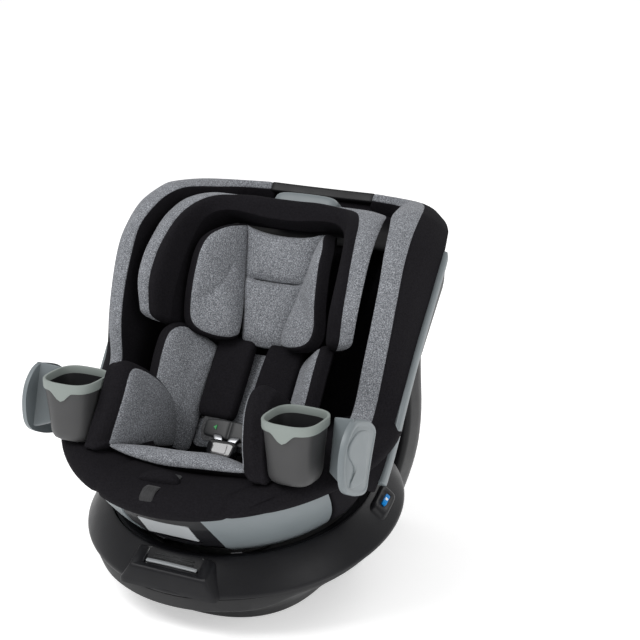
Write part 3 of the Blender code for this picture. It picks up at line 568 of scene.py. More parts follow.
# ---- wings: padded rim of the bucket, which sweeps back over the top ------------------------------
# Outer front seam, inner front seam, deep edge of the lining, rear outer edge.
WING = [((0.214, -0.004, -0.112), (0.196, -0.008, -0.098), (0.18, 0.05, -0.09), (0.229, 0.05, -0.106)),
        ((0.212, 0.01, -0.06), (0.183, 0.0, -0.056), (0.168, 0.085, -0.05), (0.232, 0.051, -0.06)),
        ((0.208, 0.026, -0.004), (0.181, 0.015, -0.007), (0.166, 0.094, -0.005), (0.231, 0.047, -0.004)),
        ((0.2145, 0.0025, 0.046), (0.187, -0.0086, 0.046), (0.168, 0.096, 0.046), (0.232, 0.049, 0.046)),
        ((0.2177, -0.0146, 0.093), (0.19, -0.024, 0.093), (0.17, 0.096, 0.093), (0.232, 0.05, 0.093)),
        ((0.2186, -0.0294, 0.148), (0.19, -0.0354, 0.15), (0.171, 0.096, 0.148), (0.232, 0.052, 0.148)),
        ((0.2165, -0.0313, 0.185), (0.187, -0.0399, 0.19), (0.17, 0.096, 0.188), (0.232, 0.054, 0.19)),
        ((0.2121, -0.0204, 0.229), (0.1775, -0.0254, 0.2325), (0.163, 0.096, 0.228), (0.231, 0.057, 0.236)),
        ((0.2033, 0.0085, 0.269), (0.1685, -0.0092, 0.2564), (0.155, 0.098, 0.25), (0.224, 0.07, 0.266)),
        ((0.1964, 0.0279, 0.285), (0.1614, 0.015, 0.2747), (0.148, 0.1, 0.266), (0.216, 0.084, 0.284)),
        ((0.1794, 0.0645, 0.308), (0.1459, 0.0563, 0.2955), (0.137, 0.106, 0.284), (0.196, 0.105, 0.306)),
        ((0.1505, 0.1, 0.326), (0.129, 0.094, 0.314), (0.124, 0.118, 0.3), (0.162, 0.128, 0.326)),
        ((0.085, 0.108, 0.333), (0.083, 0.104, 0.32), (0.083, 0.122, 0.306), (0.085, 0.132, 0.331))]


def build_wings():
    """Padded side wings, which meet over the top."""
    def wing(side, word):
        stations = []
        for outer, inner, deep, rear in WING:
            o, i, d, r = vectors((outer, inner, deep, rear))
            outward = Vector((0, -1, 0)) if o.z < 0.24 else Vector((0, -0.7, 0.7))
            front = (o + i) / 2 + outward * 0.005
            side_mid = (o + r) / 2 + Vector((0.0028, 0, 0.0012 if o.z > 0.25 else 0))
            lining = (i + d) / 2 + Vector((-0.004, 0, 0))
            rear_mid = (d + r) / 2 + Vector((0, 0.006, 0))
            stations.append([[o, front], [i, lining], [d, rear_mid], [r, side_mid]])
        return quilt("wing_pad_" + word, stations, [HEATHER, BLACK], [0, 1, 1, 1], "seat", rows=64,
                     seam=0.0014,
                     ends=0.004, replaced=("wing_pad_" + word,), side=side, stitched=(0, 1))

    pair(wing)


# ---- headrest -------------------------------------------------------------------------------------
# Outer edge of the heather band, its inner seam, ridge of the black pad, its inner edge, deep edge.
HEADREST = [((0.166, -0.008, 0.073), (0.148, -0.014, 0.073), (0.134, -0.014, 0.071), (0.121, 0.004, 0.073),
             (0.114, 0.044, 0.076)),
            ((0.171, -0.029, 0.109), (0.15, -0.032, 0.105), (0.136, -0.036, 0.104), (0.12, -0.008, 0.105),
             (0.113, 0.046, 0.105)),
            ((0.171, -0.035, 0.144), (0.149, -0.039, 0.138), (0.135, -0.042, 0.138), (0.119, -0.012, 0.14),
             (0.113, 0.046, 0.14)),
            ((0.168, -0.032, 0.177), (0.145, -0.039, 0.172), (0.132, -0.042, 0.172), (0.117, -0.012, 0.174),
             (0.113, 0.046, 0.174)),
            ((0.164, -0.022, 0.2125), (0.138, -0.031, 0.21), (0.126, -0.036, 0.208), (0.113, -0.01, 0.205),
             (0.112, 0.046, 0.203)),
            ((0.156, 0.003, 0.25), (0.128, -0.014, 0.24), (0.116, -0.021, 0.238), (0.106, -0.006, 0.226),
             (0.106, 0.044, 0.222)),
            ((0.1415, 0.036, 0.274), (0.112, 0.006, 0.262), (0.1, -0.008, 0.255), (0.092, 0.0, 0.238),
             (0.092, 0.044, 0.236)),
            ((0.108, 0.05, 0.28), (0.085, 0.024, 0.272), (0.078, -0.003, 0.262), (0.072, 0.002, 0.242),
             (0.072, 0.044, 0.24)),
            ((0.066, 0.048, 0.279), (0.05, 0.036, 0.275), (0.05, -0.001, 0.266), (0.046, 0.005, 0.241),
             (0.046, 0.042, 0.239)),
            ((0.03, 0.046, 0.272), (0.022, 0.044, 0.271), (0.022, 0.001, 0.267), (0.02, 0.008, 0.239),
             (0.02, 0.04, 0.237))]


def build_headrest():
    """Headrest ring, and the pillow inside it."""
    stations = []
    half = []
    for outer, inner, ridge, edge, deep in HEADREST:
        o, i, k, e, d = vectors((outer, inner, ridge, edge, deep))
        band = (o + i) / 2 + Vector((0, -0.0035, 0.002 if o.z > 0.23 else 0))
        wall = (e + d) / 2
        rear = (d + o) / 2 + Vector((0, 0.004, 0))
        half.append([[o, band], [i, k], [e, wall], [d, rear]])
    mirrored = [[[Vector((-p.x, p.y,
                          p.z)) for p in panel] for panel in station] for station in reversed(half)]
    stations = half + mirrored
    piece = quilt("headrest_pad", stations, [HEATHER, BLACK], [0, 1, 1, 1], "headrest", rows=150, seam=0.0012,
                  ends=0.01, replaced=("headrest_pad", "headrest_wing_left", "headrest_wing_right"),
                  stitched=(0, 1))

    lobe = [(0.06, 0.033, 0.2325), (0.058, 0.0365, 0.221), (0.0475, 0.047, 0.162), (0.0385, 0.052, 0.115),
            (0.0335, 0.051, 0.085), (0.034, 0.048, 0.0745), (0.043, 0.038, 0.0665), (0.064, 0.027, 0.064),
            (0.082, 0.019, 0.0675), (0.0925, 0.012, 0.077), (0.0955, 0.004, 0.094), (0.094, -0.009, 0.118),
            (0.0925, -0.018, 0.145), (0.0903, -0.023, 0.172), (0.0863, -0.017, 0.195), (0.075, 0.0, 0.2155),
            (0.0645, 0.022, 0.229)]

    def pillow_side(side, word):
        return pad("pillow_lobe_" + word, lobe, (-0.8, -0.6, 0.0), "headrest", crown=0.0085,
                   depth=0.018, back=0.004, swell=0.001, side=side, replaced=("head_pillow",), flat=2.6,
                   inflated=True)

    pair(pillow_side)

    upper = [(-0.048, 0.165), (-0.03, 0.163), (0, 0.162), (0.03, 0.163), (0.048, 0.165), (0.0545, 0.198),
             (0.061, 0.231), (0.059, 0.2318), (0.032, 0.2262), (0, 0.224), (-0.032, 0.2262), (-0.059, 0.2318),
             (-0.061, 0.231), (-0.0545, 0.198)]
    lower = [(-0.033, 0.076), (-0.02, 0.072), (0, 0.0705), (0.02, 0.072), (0.033, 0.076), (0.04, 0.115),
             (0.048, 0.16), (0.03, 0.1585), (0, 0.158), (-0.03, 0.1585), (-0.048, 0.16), (-0.04, 0.115)]

    def lean(u, v, w):
        return (u, 0.062 - (v - 0.075) * 0.19 - w, v)

    for name, outline, crown in (("pillow_top", upper, 0.011), ("pillow_centre", lower, 0.012)):
        piece = cushion(name, outline, lean, [HEATHER, HEATHER], "headrest", crown=crown, depth=0.01,
                        count=72)


def build_headrest_liner():
    """Cloth across the back of the headrest, behind the pillow."""
    outline = [(-0.105, 0.112), (0.0, 0.106), (0.105, 0.112), (0.114, 0.19), (0.104, 0.262), (0.062, 0.286),
               (0.0, 0.291), (-0.062, 0.286), (-0.104, 0.262), (-0.114, 0.19)]

    def behind(u, v, w):
        return (u, 0.0835 - w, v)

    piece = cushion("headrest_liner", outline, behind, [BLACK, BLACK], "headrest", crown=0.002, depth=0.003)


# ---- infant insert ----------------------------------------------------------------------------------
def build_bolsters():
    """Side bolsters of the infant insert, at the torso and at the thighs."""
    torso = [(0.067, 0.072, 0.055), (0.069, 0.069, 0.06), (0.08, 0.056, 0.0655), (0.094, 0.039, 0.069),
             (0.105, 0.023, 0.0685), (0.112, 0.009, 0.06), (0.115, 0.0015, 0.045), (0.1155, 0.0015, 0.02),
             (0.115, 0.005, -0.008), (0.113, 0.009, -0.045), (0.108, 0.015, -0.078), (0.098, 0.029, -0.096),
             (0.085, 0.05, -0.1), (0.071, 0.07, -0.097), (0.0675, 0.0735, -0.085), (0.067, 0.073, -0.05),
             (0.067, 0.073, -0.016), (0.067, 0.072, 0.018)]

    def torso_bolster(side, word):
        return pad("torso_bolster_" + word, torso, (-0.82, -0.571, 0.0), "seat", crown=0.008,
                   depth=0.02, back=0.004, swell=0.005, side=side, replaced=("torso_bolster_" + word,),
                   flat=2.8)

    pair(torso_bolster)

    thigh = [(0.1, -0.079, -0.1385), (0.099, -0.086, -0.13), (0.095, -0.093, -0.112), (0.0915, -0.099, -0.09),
             (0.089, -0.104, -0.068), (0.089, -0.106, -0.048), (0.0895, -0.101, -0.037),
             (0.089, -0.086, -0.031), (0.085, -0.053, -0.029), (0.081, -0.0223, -0.0333),
             (0.08, 0.0113, -0.0432), (0.08, 0.0276, -0.0557), (0.08, 0.04, -0.073), (0.0805, 0.048, -0.093),
             (0.082, 0.038, -0.102), (0.086, 0.002, -0.112), (0.092, -0.035, -0.124)]

    def thigh_bolster(side, word):
        return pad("thigh_bolster_" + word, thigh, (-0.985, -0.1, 0.13), "seat", crown=0.0065,
                   depth=0.034, back=0.012, swell=0.011, side=side, replaced=("thigh_bolster_" + word,),
                   flat=2.8)

    pair(thigh_bolster)


def build_hem():
    """Front hem of the insert: a thick wavy roll between the tips of the thigh bolsters."""
    bottom = [(-0.101, -0.079, -0.142), (-0.085, -0.073, -0.1455), (-0.06, -0.067, -0.148),
              (-0.03, -0.064, -0.149), (0.0, -0.064, -0.1475), (0.03, -0.067, -0.145),
              (0.06, -0.071, -0.1435), (0.085, -0.0755, -0.142), (0.101, -0.079, -0.1405)]
    stations = []
    for x, y, z in bottom:
        far = abs(x) / 0.101
        thick = 0.027 - 0.0175 * far ** 3
        stations.append([[(x, y, z), (x, y - 0.003, z + 0.3 * thick), (x, y + 0.004, z + 0.8 * thick)],
                         [(x, y + 0.014, z + thick), (x, y + 0.042, z + thick + 0.002)],
                         [(x, y + 0.066, z + 0.012), (x, y + 0.025, z - 0.001)]])
    hem = quilt("insert_hem", stations, [HEATHER, BLACK], [0, 0, 1], "seat", rows=64, ends=0.002, seam=0.0008,
                stitched=(0,))


def build_insert_pads():
    """Middle pads of the insert, under and behind the child."""
    floor_pad = [(-0.072, 0.06), (-0.04, 0.072), (0.0, 0.074), (0.04, 0.072), (0.072, 0.06), (0.0735, 0.0),
                 (0.072, -0.02), (0.036, -0.026), (0, -0.027), (-0.036, -0.026), (-0.072, -0.02),
                 (-0.0735, 0.0)]

    def lay(u, v, w):
        return (u, v + 0.33 * w, -0.124 + 0.36 * v + w)

    piece = cushion("insert_seat", floor_pad, lay, [BLACK, BLACK], "seat", crown=0.006, depth=0.008,
                    replaced=("insert_seat",))

    back = [(-0.072, -0.08), (-0.036, -0.084), (0, -0.085), (0.036, -0.084), (0.072, -0.08), (0.074, -0.01),
            (0.072, 0.058), (0.036, 0.062), (0, 0.063), (-0.036, 0.062), (-0.072, 0.058), (-0.074, -0.01)]

    def upright(u, v, w):
        return (u, 0.0815 + 0.055 * v - w, v)

    piece = cushion("insert_back", back, upright, [HEATHER, BLACK], "seat", crown=0.006, depth=0.01,
                    replaced=("insert_back",))


def build_seat_cushions():
    """Cover behind the torso and under the thighs, seen between the insert and the wings."""
    back = [(-0.158, -0.03), (-0.08, -0.034), (0.0, -0.035), (0.08, -0.034), (0.158, -0.03), (0.165, 0.06),
            (0.162, 0.15), (0.146, 0.232), (0.08, 0.257), (0.0, 0.262), (-0.08, 0.257), (-0.146, 0.232),
            (-0.162, 0.15), (-0.165, 0.06)]

    def behind(u, v, w):
        return (u, 0.1045 - w, v)

    piece = cushion("back_pad", back, behind, [BLACK, BLACK], "seat", crown=0.0035, depth=0.007,
                    replaced=("back_pad",))

    under = [(-0.116, -0.051), (-0.06, -0.056), (0.0, -0.058), (0.06, -0.056), (0.116, -0.051), (0.14, -0.02),
             (0.156, 0.03), (0.146, 0.074), (0.08, 0.086), (0.0, 0.088), (-0.08, 0.086), (-0.146, 0.074),
             (-0.156, 0.03), (-0.14, -0.02)]

    def below(u, v, w):
        return (u, v, -0.173 + 0.463 * (v + 0.058) + 0.22 * max(0.0, v - 0.05) + w)

    piece = cushion("seat_pad", under, below, [BLACK, BLACK], "seat", crown=0.003, depth=0.03,
                    replaced=("seat_pad",))


# ---- apron: front roll of the cover ---------------------------------------------------------------------
APRON = [(0.12, 0.128), (0.15, 0.139), (0.175, 0.147), (0.2, 0.1525), (0.218, 0.1535), (0.23, 0.149),
         (0.2366, 0.141), (0.237, 0.133), (0.2335, 0.1268), (0.224, 0.125), (0.18, 0.12), (0.14, 0.118)]
SEAM_LEFT = [(0.12, -29.0), (0.182, -25.7), (0.235, -22.8), (0.247, -19.7)]
SEAM_RIGHT = [(0.12, 46.0), (0.189, 41.6), (0.217, 27.8), (0.236, 25.0), (0.247, 24.0)]
SEAM_CURVED = [(0.12, 60.0), (0.209, 50.0), (0.232, 42.6), (0.2365, 33.0), (0.247, 28.5)]


def angle_at(seam, r):
    for (r0, a0), (r1, a1) in zip(seam, seam[1:]):
        if r <= r1:
            return a0 + (a1 - a0) * max(0.0, (r - r0) / (r1 - r0))
    return seam[-1][1]


def build_apron():
    """The bands between seams bulge a little, and each seam sinks in."""
    ends = ([(0.12, -104.0), (0.25, -104.0)], [(0.12, 104.0), (0.25, 104.0)])
    lines = [ends[0], SEAM_LEFT, SEAM_RIGHT, SEAM_CURVED, ends[1]]
    profile = sampled([(r, 0, h) for r, h in APRON], 60, True)
    middle = Vector((0.185, 0, 0.13))
    rows = []
    for band, (first, second) in enumerate(zip(lines, lines[1:])):
        steps = (26, 30, 8, 20)[band]
        for k in range(steps + (band == 3)):
            t = k / steps
            row = []
            for p in profile:
                angle = radians(angle_at(first, p.x) * (1 - t) + angle_at(second, p.x) * t)
                span_mm = abs(angle_at(second, p.x) - angle_at(first, p.x)) / 60
                puff = 0.0058 * min(1.0, span_mm * 1.6) * (4 * t * (1 - t)) ** 0.3 - 0.003
                grow = p + (p - middle).normalized() * puff
                rise = 0.002 + 0.0075 * min(1.0, abs(angle / radians(58)) ** 1.6)
                row.append((grow.x * sin(angle), -grow.x * cos(angle), grow.z + rise - PIVOT_RISE))
            rows.append(row)
    piece = lathe_free("seat_apron", rows, [BLACK], "seat", ("seat_apron",), BOWL, 1, 0, None)


def build_adjuster():
    """Flap over the harness adjuster, and the tab of the strap that comes out from under it."""
    flap = []
    for k in range(25):
        turn = pi * k / 24
        u = cos(turn)
        y = -0.196 + 0.018 * sin(turn) ** 0.8 + 0.003 * u
        flap.append((-0.006 + 0.03 * u, y, -0.0452 + 0.0022 * sin(turn)))
    edge = [(-0.006 + 0.03 * cos(pi * (24 - k) / 24),
             -0.1965 + 0.003 * cos(pi * (24 - k) / 24) - 0.004 * sin(pi * k / 24),
             -0.0454) for k in range(1, 24)]
    rim = [Vector(p) for p in flap + edge]
    lowered = [p - Vector((0, 0, 0.012)) for p in rim]
    centre = sum(rim, Vector()) / len(rim)
    raised = [centre + (p - centre) * 0.8 + Vector((0, 0.0, 0.0055)) for p in rim]
    crown = [centre + (p - centre) * 0.4 + Vector((0, 0.0, 0.0075)) for p in rim]
    piece = lathe_free("adjuster_flap", [lowered, rim, raised, crown], [BLACK], "seat", (), BOWL, 1, 1, None)

    line = [(-0.004 + x, y, z) for x, y, z in ((0, -0.205, -0.049), (0, -0.212, -0.044), (0, -0.221, -0.0438),
                                               (0, -0.229, -0.0475), (0, -0.2345, -0.0545))]
    piece = bent_bar("adjuster_tab", line, round_section(0.01, 0.0013, 0.0011, 2), [BELT_DARK], "seat",
                     ("adjuster_strap",), BOWL)


def build_side_panels():
    """Grey side panels on the round underside, and the cover's dark edge behind each of them."""
    rows = []
    for k in range(49):
        t = k / 48
        row = []
        for radius, order in ((PANEL_R, range(13)), (BALL_R + 0.0008, range(12, -1, -1))):
            for i in order:
                f = i / 12
                start = 21.5 - 6.5 * f ** 1.6
                end = 70.0 - 10.5 * f
                turn = radians(start + (end - start) * t)
                low = 0.029 + 0.01 * max(0.0, 1 - t * 9) ** 2 + 0.006 * max(0.0, t * 6 - 5) ** 2
                h = low + (0.1275 + 0.0085 * min(1.0, (turn / radians(58)) ** 1.6) - low) * f
                z = h - PIVOT_RISE
                edge = 0.0012 * (i in (0, 12)) if radius == PANEL_R else 0.0
                r = sqrt((radius - edge) ** 2 - z * z)
                row.append((r * sin(turn), -r * cos(turn), z))
        rows.append(row)
    both_sides("side_panel_", rows, SHELL_GREY, "side_panel_", frame_of=BOWL, sharp=40)

    rows = []
    for k in range(13):
        t = k / 12
        row = []
        for radius, order in ((PANEL_R + 0.0022, range(11)), (BALL_R + 0.0006, range(10, -1, -1))):
            for i in order:
                f = i / 10
                turn = radians(70.8 - 10.5 * f + (13.0 + 6.0 * f) * t)
                z = 0.042 + 0.094 * f - PIVOT_RISE
                plump = 0.0018 * sin(pi * t) if radius > BALL_R + 0.001 else 0.0
                r = sqrt((radius + plump - 0.002 * (i in (0, 10))) ** 2 - z * z)
                row.append((r * sin(turn), -r * cos(turn), z))
        rows.append(row)
    both_sides("cover_skirt_", rows, BLACK, frame_of=BOWL, subdivide=1)


# ---- harness ------------------------------------------------------------------------------------------------
def build_harness():
    """Pads, straps, chest clip and buckle."""
    rows = []
    for x, y, z, half, thick in ((0.04, 0.078, 0.08, 0.022, 0.005), (0.04, 0.0725, 0.076, 0.027, 0.0075),
                                 (0.0395, 0.068, 0.064, 0.029, 0.009), (0.0385, 0.0655, 0.03, 0.0295, 0.0095),
                                 (0.038, 0.064, -0.005, 0.0295, 0.0095),
                                 (0.0375, 0.063, -0.03, 0.029, 0.0095),
                                 (0.037, 0.063, -0.04, 0.027, 0.0085),
                                 (0.037, 0.0635, -0.045, 0.023, 0.0055)):
        rows.append([(x + u, y + v * (1 + 0.25 * (1 - (u / half) ** 2)), z)
                     for u, v in round_section(half, thick, thick * 0.8, 5)])
    fine = []
    for k in range(40):
        fine.append([catmull([Vector(row[j]) for row in rows], k / 39) for j in range(len(rows[0]))])
    both_sides("shoulder_pad_", fine, BLACK, "shoulder_pad_", subdivide=1)

    def strap(side, word):
        line = [(0.037, 0.063, -0.038), (0.035, 0.059, -0.05), (0.033, 0.054, -0.064),
                (0.025, 0.045, -0.0775), (0.019, 0.04, -0.0835)]
        return bent_bar("shoulder_strap_" + word, line, round_section(0.018, 0.0012, 0.0011, 2), [WEBBING],
                        "seat",
                        ("shoulder_strap_" + word,), SEAT, side)

    pair(strap)

    clip = []
    for x in (-0.0405, -0.0395, -0.036, -0.026, -0.012, -0.0025, -0.0018, 0.0018, 0.0025, 0.012, 0.026, 0.036,
              0.0395, 0.0405):
        far = abs(x) / 0.0405
        half = 0.014 - 0.0035 * far ** 4 - (0.003 if abs(x) > 0.04 else 0)
        thick = 0.0068 - 0.002 * far ** 3 - (0.0018 if abs(x) < 0.002 else 0) - (0.002 if abs(x) > 0.04 else 0)
        clip.append([(x, 0.0475 + v, -0.063 + u) for u, v in round_section(half, thick, 0.0035, 4)])
    piece = lathe_free("chest_clip", clip, [BUCKLE_GREY], "seat", ("chest_clip",), SEAT, 1, 1, None)
    rows = []
    for y, size in ((0.0425, 1.0), (0.0402, 1.0), (0.0398, 0.8)):
        rows.append([(-0.0215 + 0.0034 * size * cos(2 * pi * k / 3 + pi), y,
                      -0.062 + 0.0044 * size * sin(2 * pi * k / 3 + pi))
                     for k in range(3)])
    mark = lathe_free("clip_mark", rows, [GREEN_MARK], "seat", (), SEAT, 1, 0, 40)

    buckle = []
    for z, half, thick in ((-0.08, 0.015, 0.004), (-0.081, 0.02, 0.0065), (-0.086, 0.0225, 0.008),
                           (-0.096, 0.0225, 0.0085), (-0.105, 0.019, 0.008), (-0.113, 0.015, 0.007),
                           (-0.116, 0.012, 0.0045)):
        buckle.append([(u, 0.037 + v, z) for u, v in round_section(half, thick, thick * 0.7, 4)])
    piece = lathe_free("buckle", buckle, [GLOSS_BLACK], "seat", ("buckle",), SEAT, 1, 1, None)

    def tongue(side, word):
        line = [(0.01, 0.0375, -0.0825), (0.0112, 0.0375, -0.0775), (0.015, 0.04, -0.0715)]
        return bent_bar("buckle_tongue_" + word, line, round_section(0.0072, 0.0016, 0.0014, 3), [STEEL],
                        "seat", (), SEAT,
                        side)

    pair(tongue)


# ---- cup holders --------------------------------------------------------------------------------------------
CUP_PLACE = Vector((0.165, -0.169706, 0.2365))
CUP_TALL = 0.0862


def squircle(half, count, power=3.1):
    points = []
    for k in range(count):
        turn = 2 * pi * k / count
        c, s = cos(turn), sin(turn)
        points.append((half * abs(c) ** (2 / power) * (1 if c >= 0 else -1),
                       half * abs(s) ** (2 / power) * (1 if s >= 0 else -1)))
    return points


def build_cups():
    """Square cup holders and their rims, each with a drop-shaped tongue in front."""
    count = 120

    def cup(side, word):
        outer = [(0.0, 0.016), (0.0002, 0.0215), (0.0012, 0.0255), (0.0034, 0.0285), (0.0075, 0.0305),
                 (0.013, 0.0318),
                 (0.03, 0.033), (0.05, 0.0348), (CUP_TALL - 0.01, 0.0372)]
        inner = [(CUP_TALL - 0.01, 0.0345), (0.03, 0.03), (0.011, 0.0278), (0.003, 0.024), (0.002, 0.012)]
        rows = [[(CUP_PLACE.x + u, CUP_PLACE.y + v, CUP_PLACE.z + h) for u, v in squircle(w, count)]
                for h, w in outer + inner]
        # The inner rows take the darker copy of the plastic, as painted shade inside the cup.
        tones = [0] * len(outer) + [1] * (len(inner) - 1)
        return lathe_free("cup_holder_" + word, rows, [CUP_BODY, CUP_INSIDE_SHADE], "cup_" + word,
                          ("cup_holder_" + word,),
                          WORLD, side, 0, 50, tones)

    pair(cup)

    def ring(side, word):
        rows = []
        shape = [(0.0388, 0.0), (0.0392, 0.15), (0.0394, 0.9), (0.0388, 0.98), (0.0374, 1.0), (0.0362, 0.97),
                 (0.0356, 0.88), (0.0348, 0.1), (0.035, 0.0), (0.037, -0.01)]
        for w, rise in shape + shape[:1]:
            row = []
            for u, v in squircle(w, count):
                drop = 0.0
                if v < -0.6 * w:
                    near = max(0.0, 1 - abs(u) / 0.019)
                    drop = 0.013 * near * near * (3 - 2 * near)
                low = CUP_TALL - 0.0125 - drop
                row.append((CUP_PLACE.x + u, CUP_PLACE.y + v, CUP_PLACE.z + low + (CUP_TALL - low) * rise))
            rows.append(row)
        return lathe_free("cup_ring_" + word, rows, [CUP_RIM], "cup_" + word, ("cup_ring_" + word,), WORLD,
                          side, 0, 40, None, False)

    pair(ring)


# ---- belt guides and trim -----------------------------------------------------------------------------------
def build_guides():
    """Belt guides: a plate, the raised wave on it, and the part that wraps to the cup holder."""
    outer = [(-0.089, -0.047), (-0.064, -0.0395), (-0.045, -0.0385), (-0.0335, -0.0415), (-0.029, -0.049),
             (-0.022, -0.074), (-0.013, -0.103), (-0.009, -0.115), (-0.014, -0.124), (-0.036, -0.1325),
             (-0.059, -0.137), (-0.074, -0.137), (-0.087, -0.131), (-0.099, -0.118), (-0.108, -0.102),
             (-0.112, -0.084), (-0.109, -0.066), (-0.101, -0.053)]
    wave = [(-0.064, -0.053), (-0.053, -0.056), (-0.044, -0.074), (-0.029, -0.102), (-0.033, -0.112),
            (-0.048, -0.122), (-0.064, -0.129), (-0.069, -0.124), (-0.0665, -0.1125), (-0.072, -0.104),
            (-0.085, -0.1), (-0.098, -0.096), (-0.103, -0.085), (-0.096, -0.07), (-0.083, -0.059)]

    def layered(outline, centre, layers):
        """The outline at each layer's x, drawn in towards the centre by the layer's shrink."""
        line = sampled([(0, y, z) for y, z in outline], 120, True)
        middle = Vector((0, *centre))
        rows = []
        for x, shrink in layers:
            row = []
            for p in line:
                away = p - middle
                q = middle + away * max(0.0, 1 - shrink / max(away.length, 0.02))
                row.append((x, q.y, q.z))
            rows.append(row)
        return rows

    plate_rows = layered(outer, (-0.062, -0.085), (
        (0.234, 0.0), (0.239, 0.0), (0.2408, 0.0006), (0.2418, 0.0022), (0.242, 0.005), (0.2416, 0.0065),
        (0.2412, 0.0072), (0.2412, 0.009), (0.2418, 0.01), (0.2418, 0.03)))
    raised_rows = layered(wave, (-0.058, -0.088), (
        (0.24, 0.0), (0.2424, 0.0), (0.2432, 0.0006), (0.2435, 0.0016), (0.2435, 0.006)))

    both_sides("belt_guide_", plate_rows, SHELL_GREY, "belt_guide_", sharp=50)

    both_sides("belt_guide_pad_", raised_rows, SHELL_GREY, sharp=50)

    rows = []
    for x, y in ((0.204, -0.084), (0.2045, -0.087), (0.21, -0.09), (0.22, -0.0925), (0.23, -0.097),
                 (0.236, -0.102), (0.2395, -0.106)):
        high, low = -0.048 - 0.002 * max(0.0, (x - 0.225) / 0.015), -0.112 - 0.023 * (x - 0.204) / 0.035
        section = []
        for u, v in round_section(0.5, 0.5, 0.12, 4):
            z = low + (high - low) * (u + 0.5)
            belly = 0.006 * sin(pi * (u + 0.5)) + 0.03 * (1 - (u + 0.5)) ** 1.5
            section.append((x, y + belly + 0.008 * (v + 0.5), z))
        rows.append(section)
    both_sides("belt_guide_front_", rows, SHELL_GREY, subdivide=1)


def build_trim():
    """Grey strip along each side of the seat's cover."""
    edge = [(0.056, 0.242), (0.053, 0.234), (0.05, 0.215), (0.048, 0.17), (0.046, 0.13), (0.045, 0.0884),
            (0.046, 0.0417), (0.048, 0.005), (0.05, -0.0208), (0.051, -0.055), (0.0495, -0.08),
            (0.048, -0.092)]

    line = sampled([(0, y, z) for y, z in edge], 60)
    rows = []
    for k, p in enumerate(line):
        t = k / 59
        wide = 0.0165 * min(1.0, 0.45 + 6 * t) + 0.004 * t
        x = 0.2355 - 0.003 * max(0.0, 1 - 6 * t)
        rows.append([(x - 0.006, p.y, p.z), (x, p.y + 0.0006, p.z), (x + 0.0016, p.y + 0.003, p.z),
                     (x + 0.0016, p.y + wide - 0.006, p.z), (x - 0.0006, p.y + wide - 0.001, p.z),
                     (x - 0.006, p.y + wide, p.z), (x - 0.016, p.y + wide, p.z),
                     (x - 0.016, p.y + 0.006, p.z)])
    both_sides("side_trim_", rows, SHELL_GREY, "side_trim_", subdivide=1)


def build_top():
    """Bar and cloth behind the headrest, and the headrest lever."""
    line = [(x, 0.1125 + 0.0015 * (1 - (x / 0.09) ** 2), 0.3255) for x in (-0.083, -0.08, -0.05, 0.0, 0.05,
                                                                           0.08, 0.083)]
    section = [(0.0075 * u / 0.5, 0.0085 * v / 0.5) for u, v in round_section(0.5, 0.5, 0.2, 4)]
    rows = [[(x, y + v, z + u) for u, v in section] for x, y, z in line]
    piece = lathe_free("top_bar", rows, [ARM_BLACK], "seat", (), SEAT, 1, 1, None)

    rows = []
    for x in (-0.15, -0.148, -0.1, -0.05, 0.0, 0.05, 0.1, 0.148, 0.15):
        high = 0.326 - 0.048 * (abs(x) / 0.15) ** 4
        middle_z = (0.245 + high) / 2
        rows.append([(x, 0.121 + 0.003 * v, middle_z + (high - 0.245) / 2 * u) for u,
                     v in round_section(1.0, 1.0, 0.1, 3)])
    piece = lathe_free("upper_back_liner", rows, [BLACK], "seat", (), SEAT, 1, 0, 40)

    rows = []
    for x in (-0.05, -0.049, -0.045, -0.03, 0.0, 0.03, 0.045, 0.049, 0.05):
        far = abs(x) / 0.05
        small = 1 - 0.35 * max(0.0, far - 0.9) * 10
        rows.append([(x, 0.078 + 0.018 * v * small, 0.289 + 0.0155 * u * small - 0.004 * far ** 4)
                     for u, v in round_section(1.0, 1.0, 0.45, 5)])
    piece = lathe_free("headrest_lever", rows, [SHELL_GREY], "headrest_lever", ("headrest_lever",), SEAT, 1,
                       1, None)


# ---- base ---------------------------------------------------------------------------------------------------
SKIRT = [(0.0, -0.027), (0.06, -0.0268), (0.16, -0.0165), (0.5, -0.015), (0.85, -0.068), (1.0, -0.077)]


def level_rows(half_along, half_across, corner, layers):
    """Rounded outlines over the middle of a level lens; each layer is (scale, height over the deck)."""
    turn, lean, reach = radians(8), radians(45), 0.2052
    middle = Vector((reach * cos(turn), reach * sin(turn), 0.0268))
    out = Vector((sin(lean) * cos(turn), sin(lean) * sin(turn), cos(lean)))
    along = Vector((-sin(turn), cos(turn), 0))
    across = out.cross(along)
    return [[middle + along * (half_along * u * grow) + across * (half_across * v * grow) + out * lift
             for u, v in round_section(1.0, 1.0, corner, 5)] for grow, lift in layers]


def build_deck():
    """Tilted round upper ring of the base."""
    deck = [(0.2215, -0.0032), (0.2243, -0.0024), (0.2252, 0.0), (0.2246, 0.0024), (0.2234, 0.0045),
            (0.2215, 0.0072), (0.218, 0.012), (0.213, 0.018), (0.2075, 0.024), (0.202, 0.0292),
            (0.1975, 0.0333), (0.1935, 0.0366), (0.1905, 0.0388), (0.189, 0.0396), (0.1877, 0.04),
            (0.1868, 0.0394), (0.1863, 0.038), (0.186, 0.03), (0.186, 0.0025), (0.2005, -0.0032)]
    piece = revolve("base_deck", deck, [DECK_BLACK], "base", 192, ("base_deck",), DECK, 50)


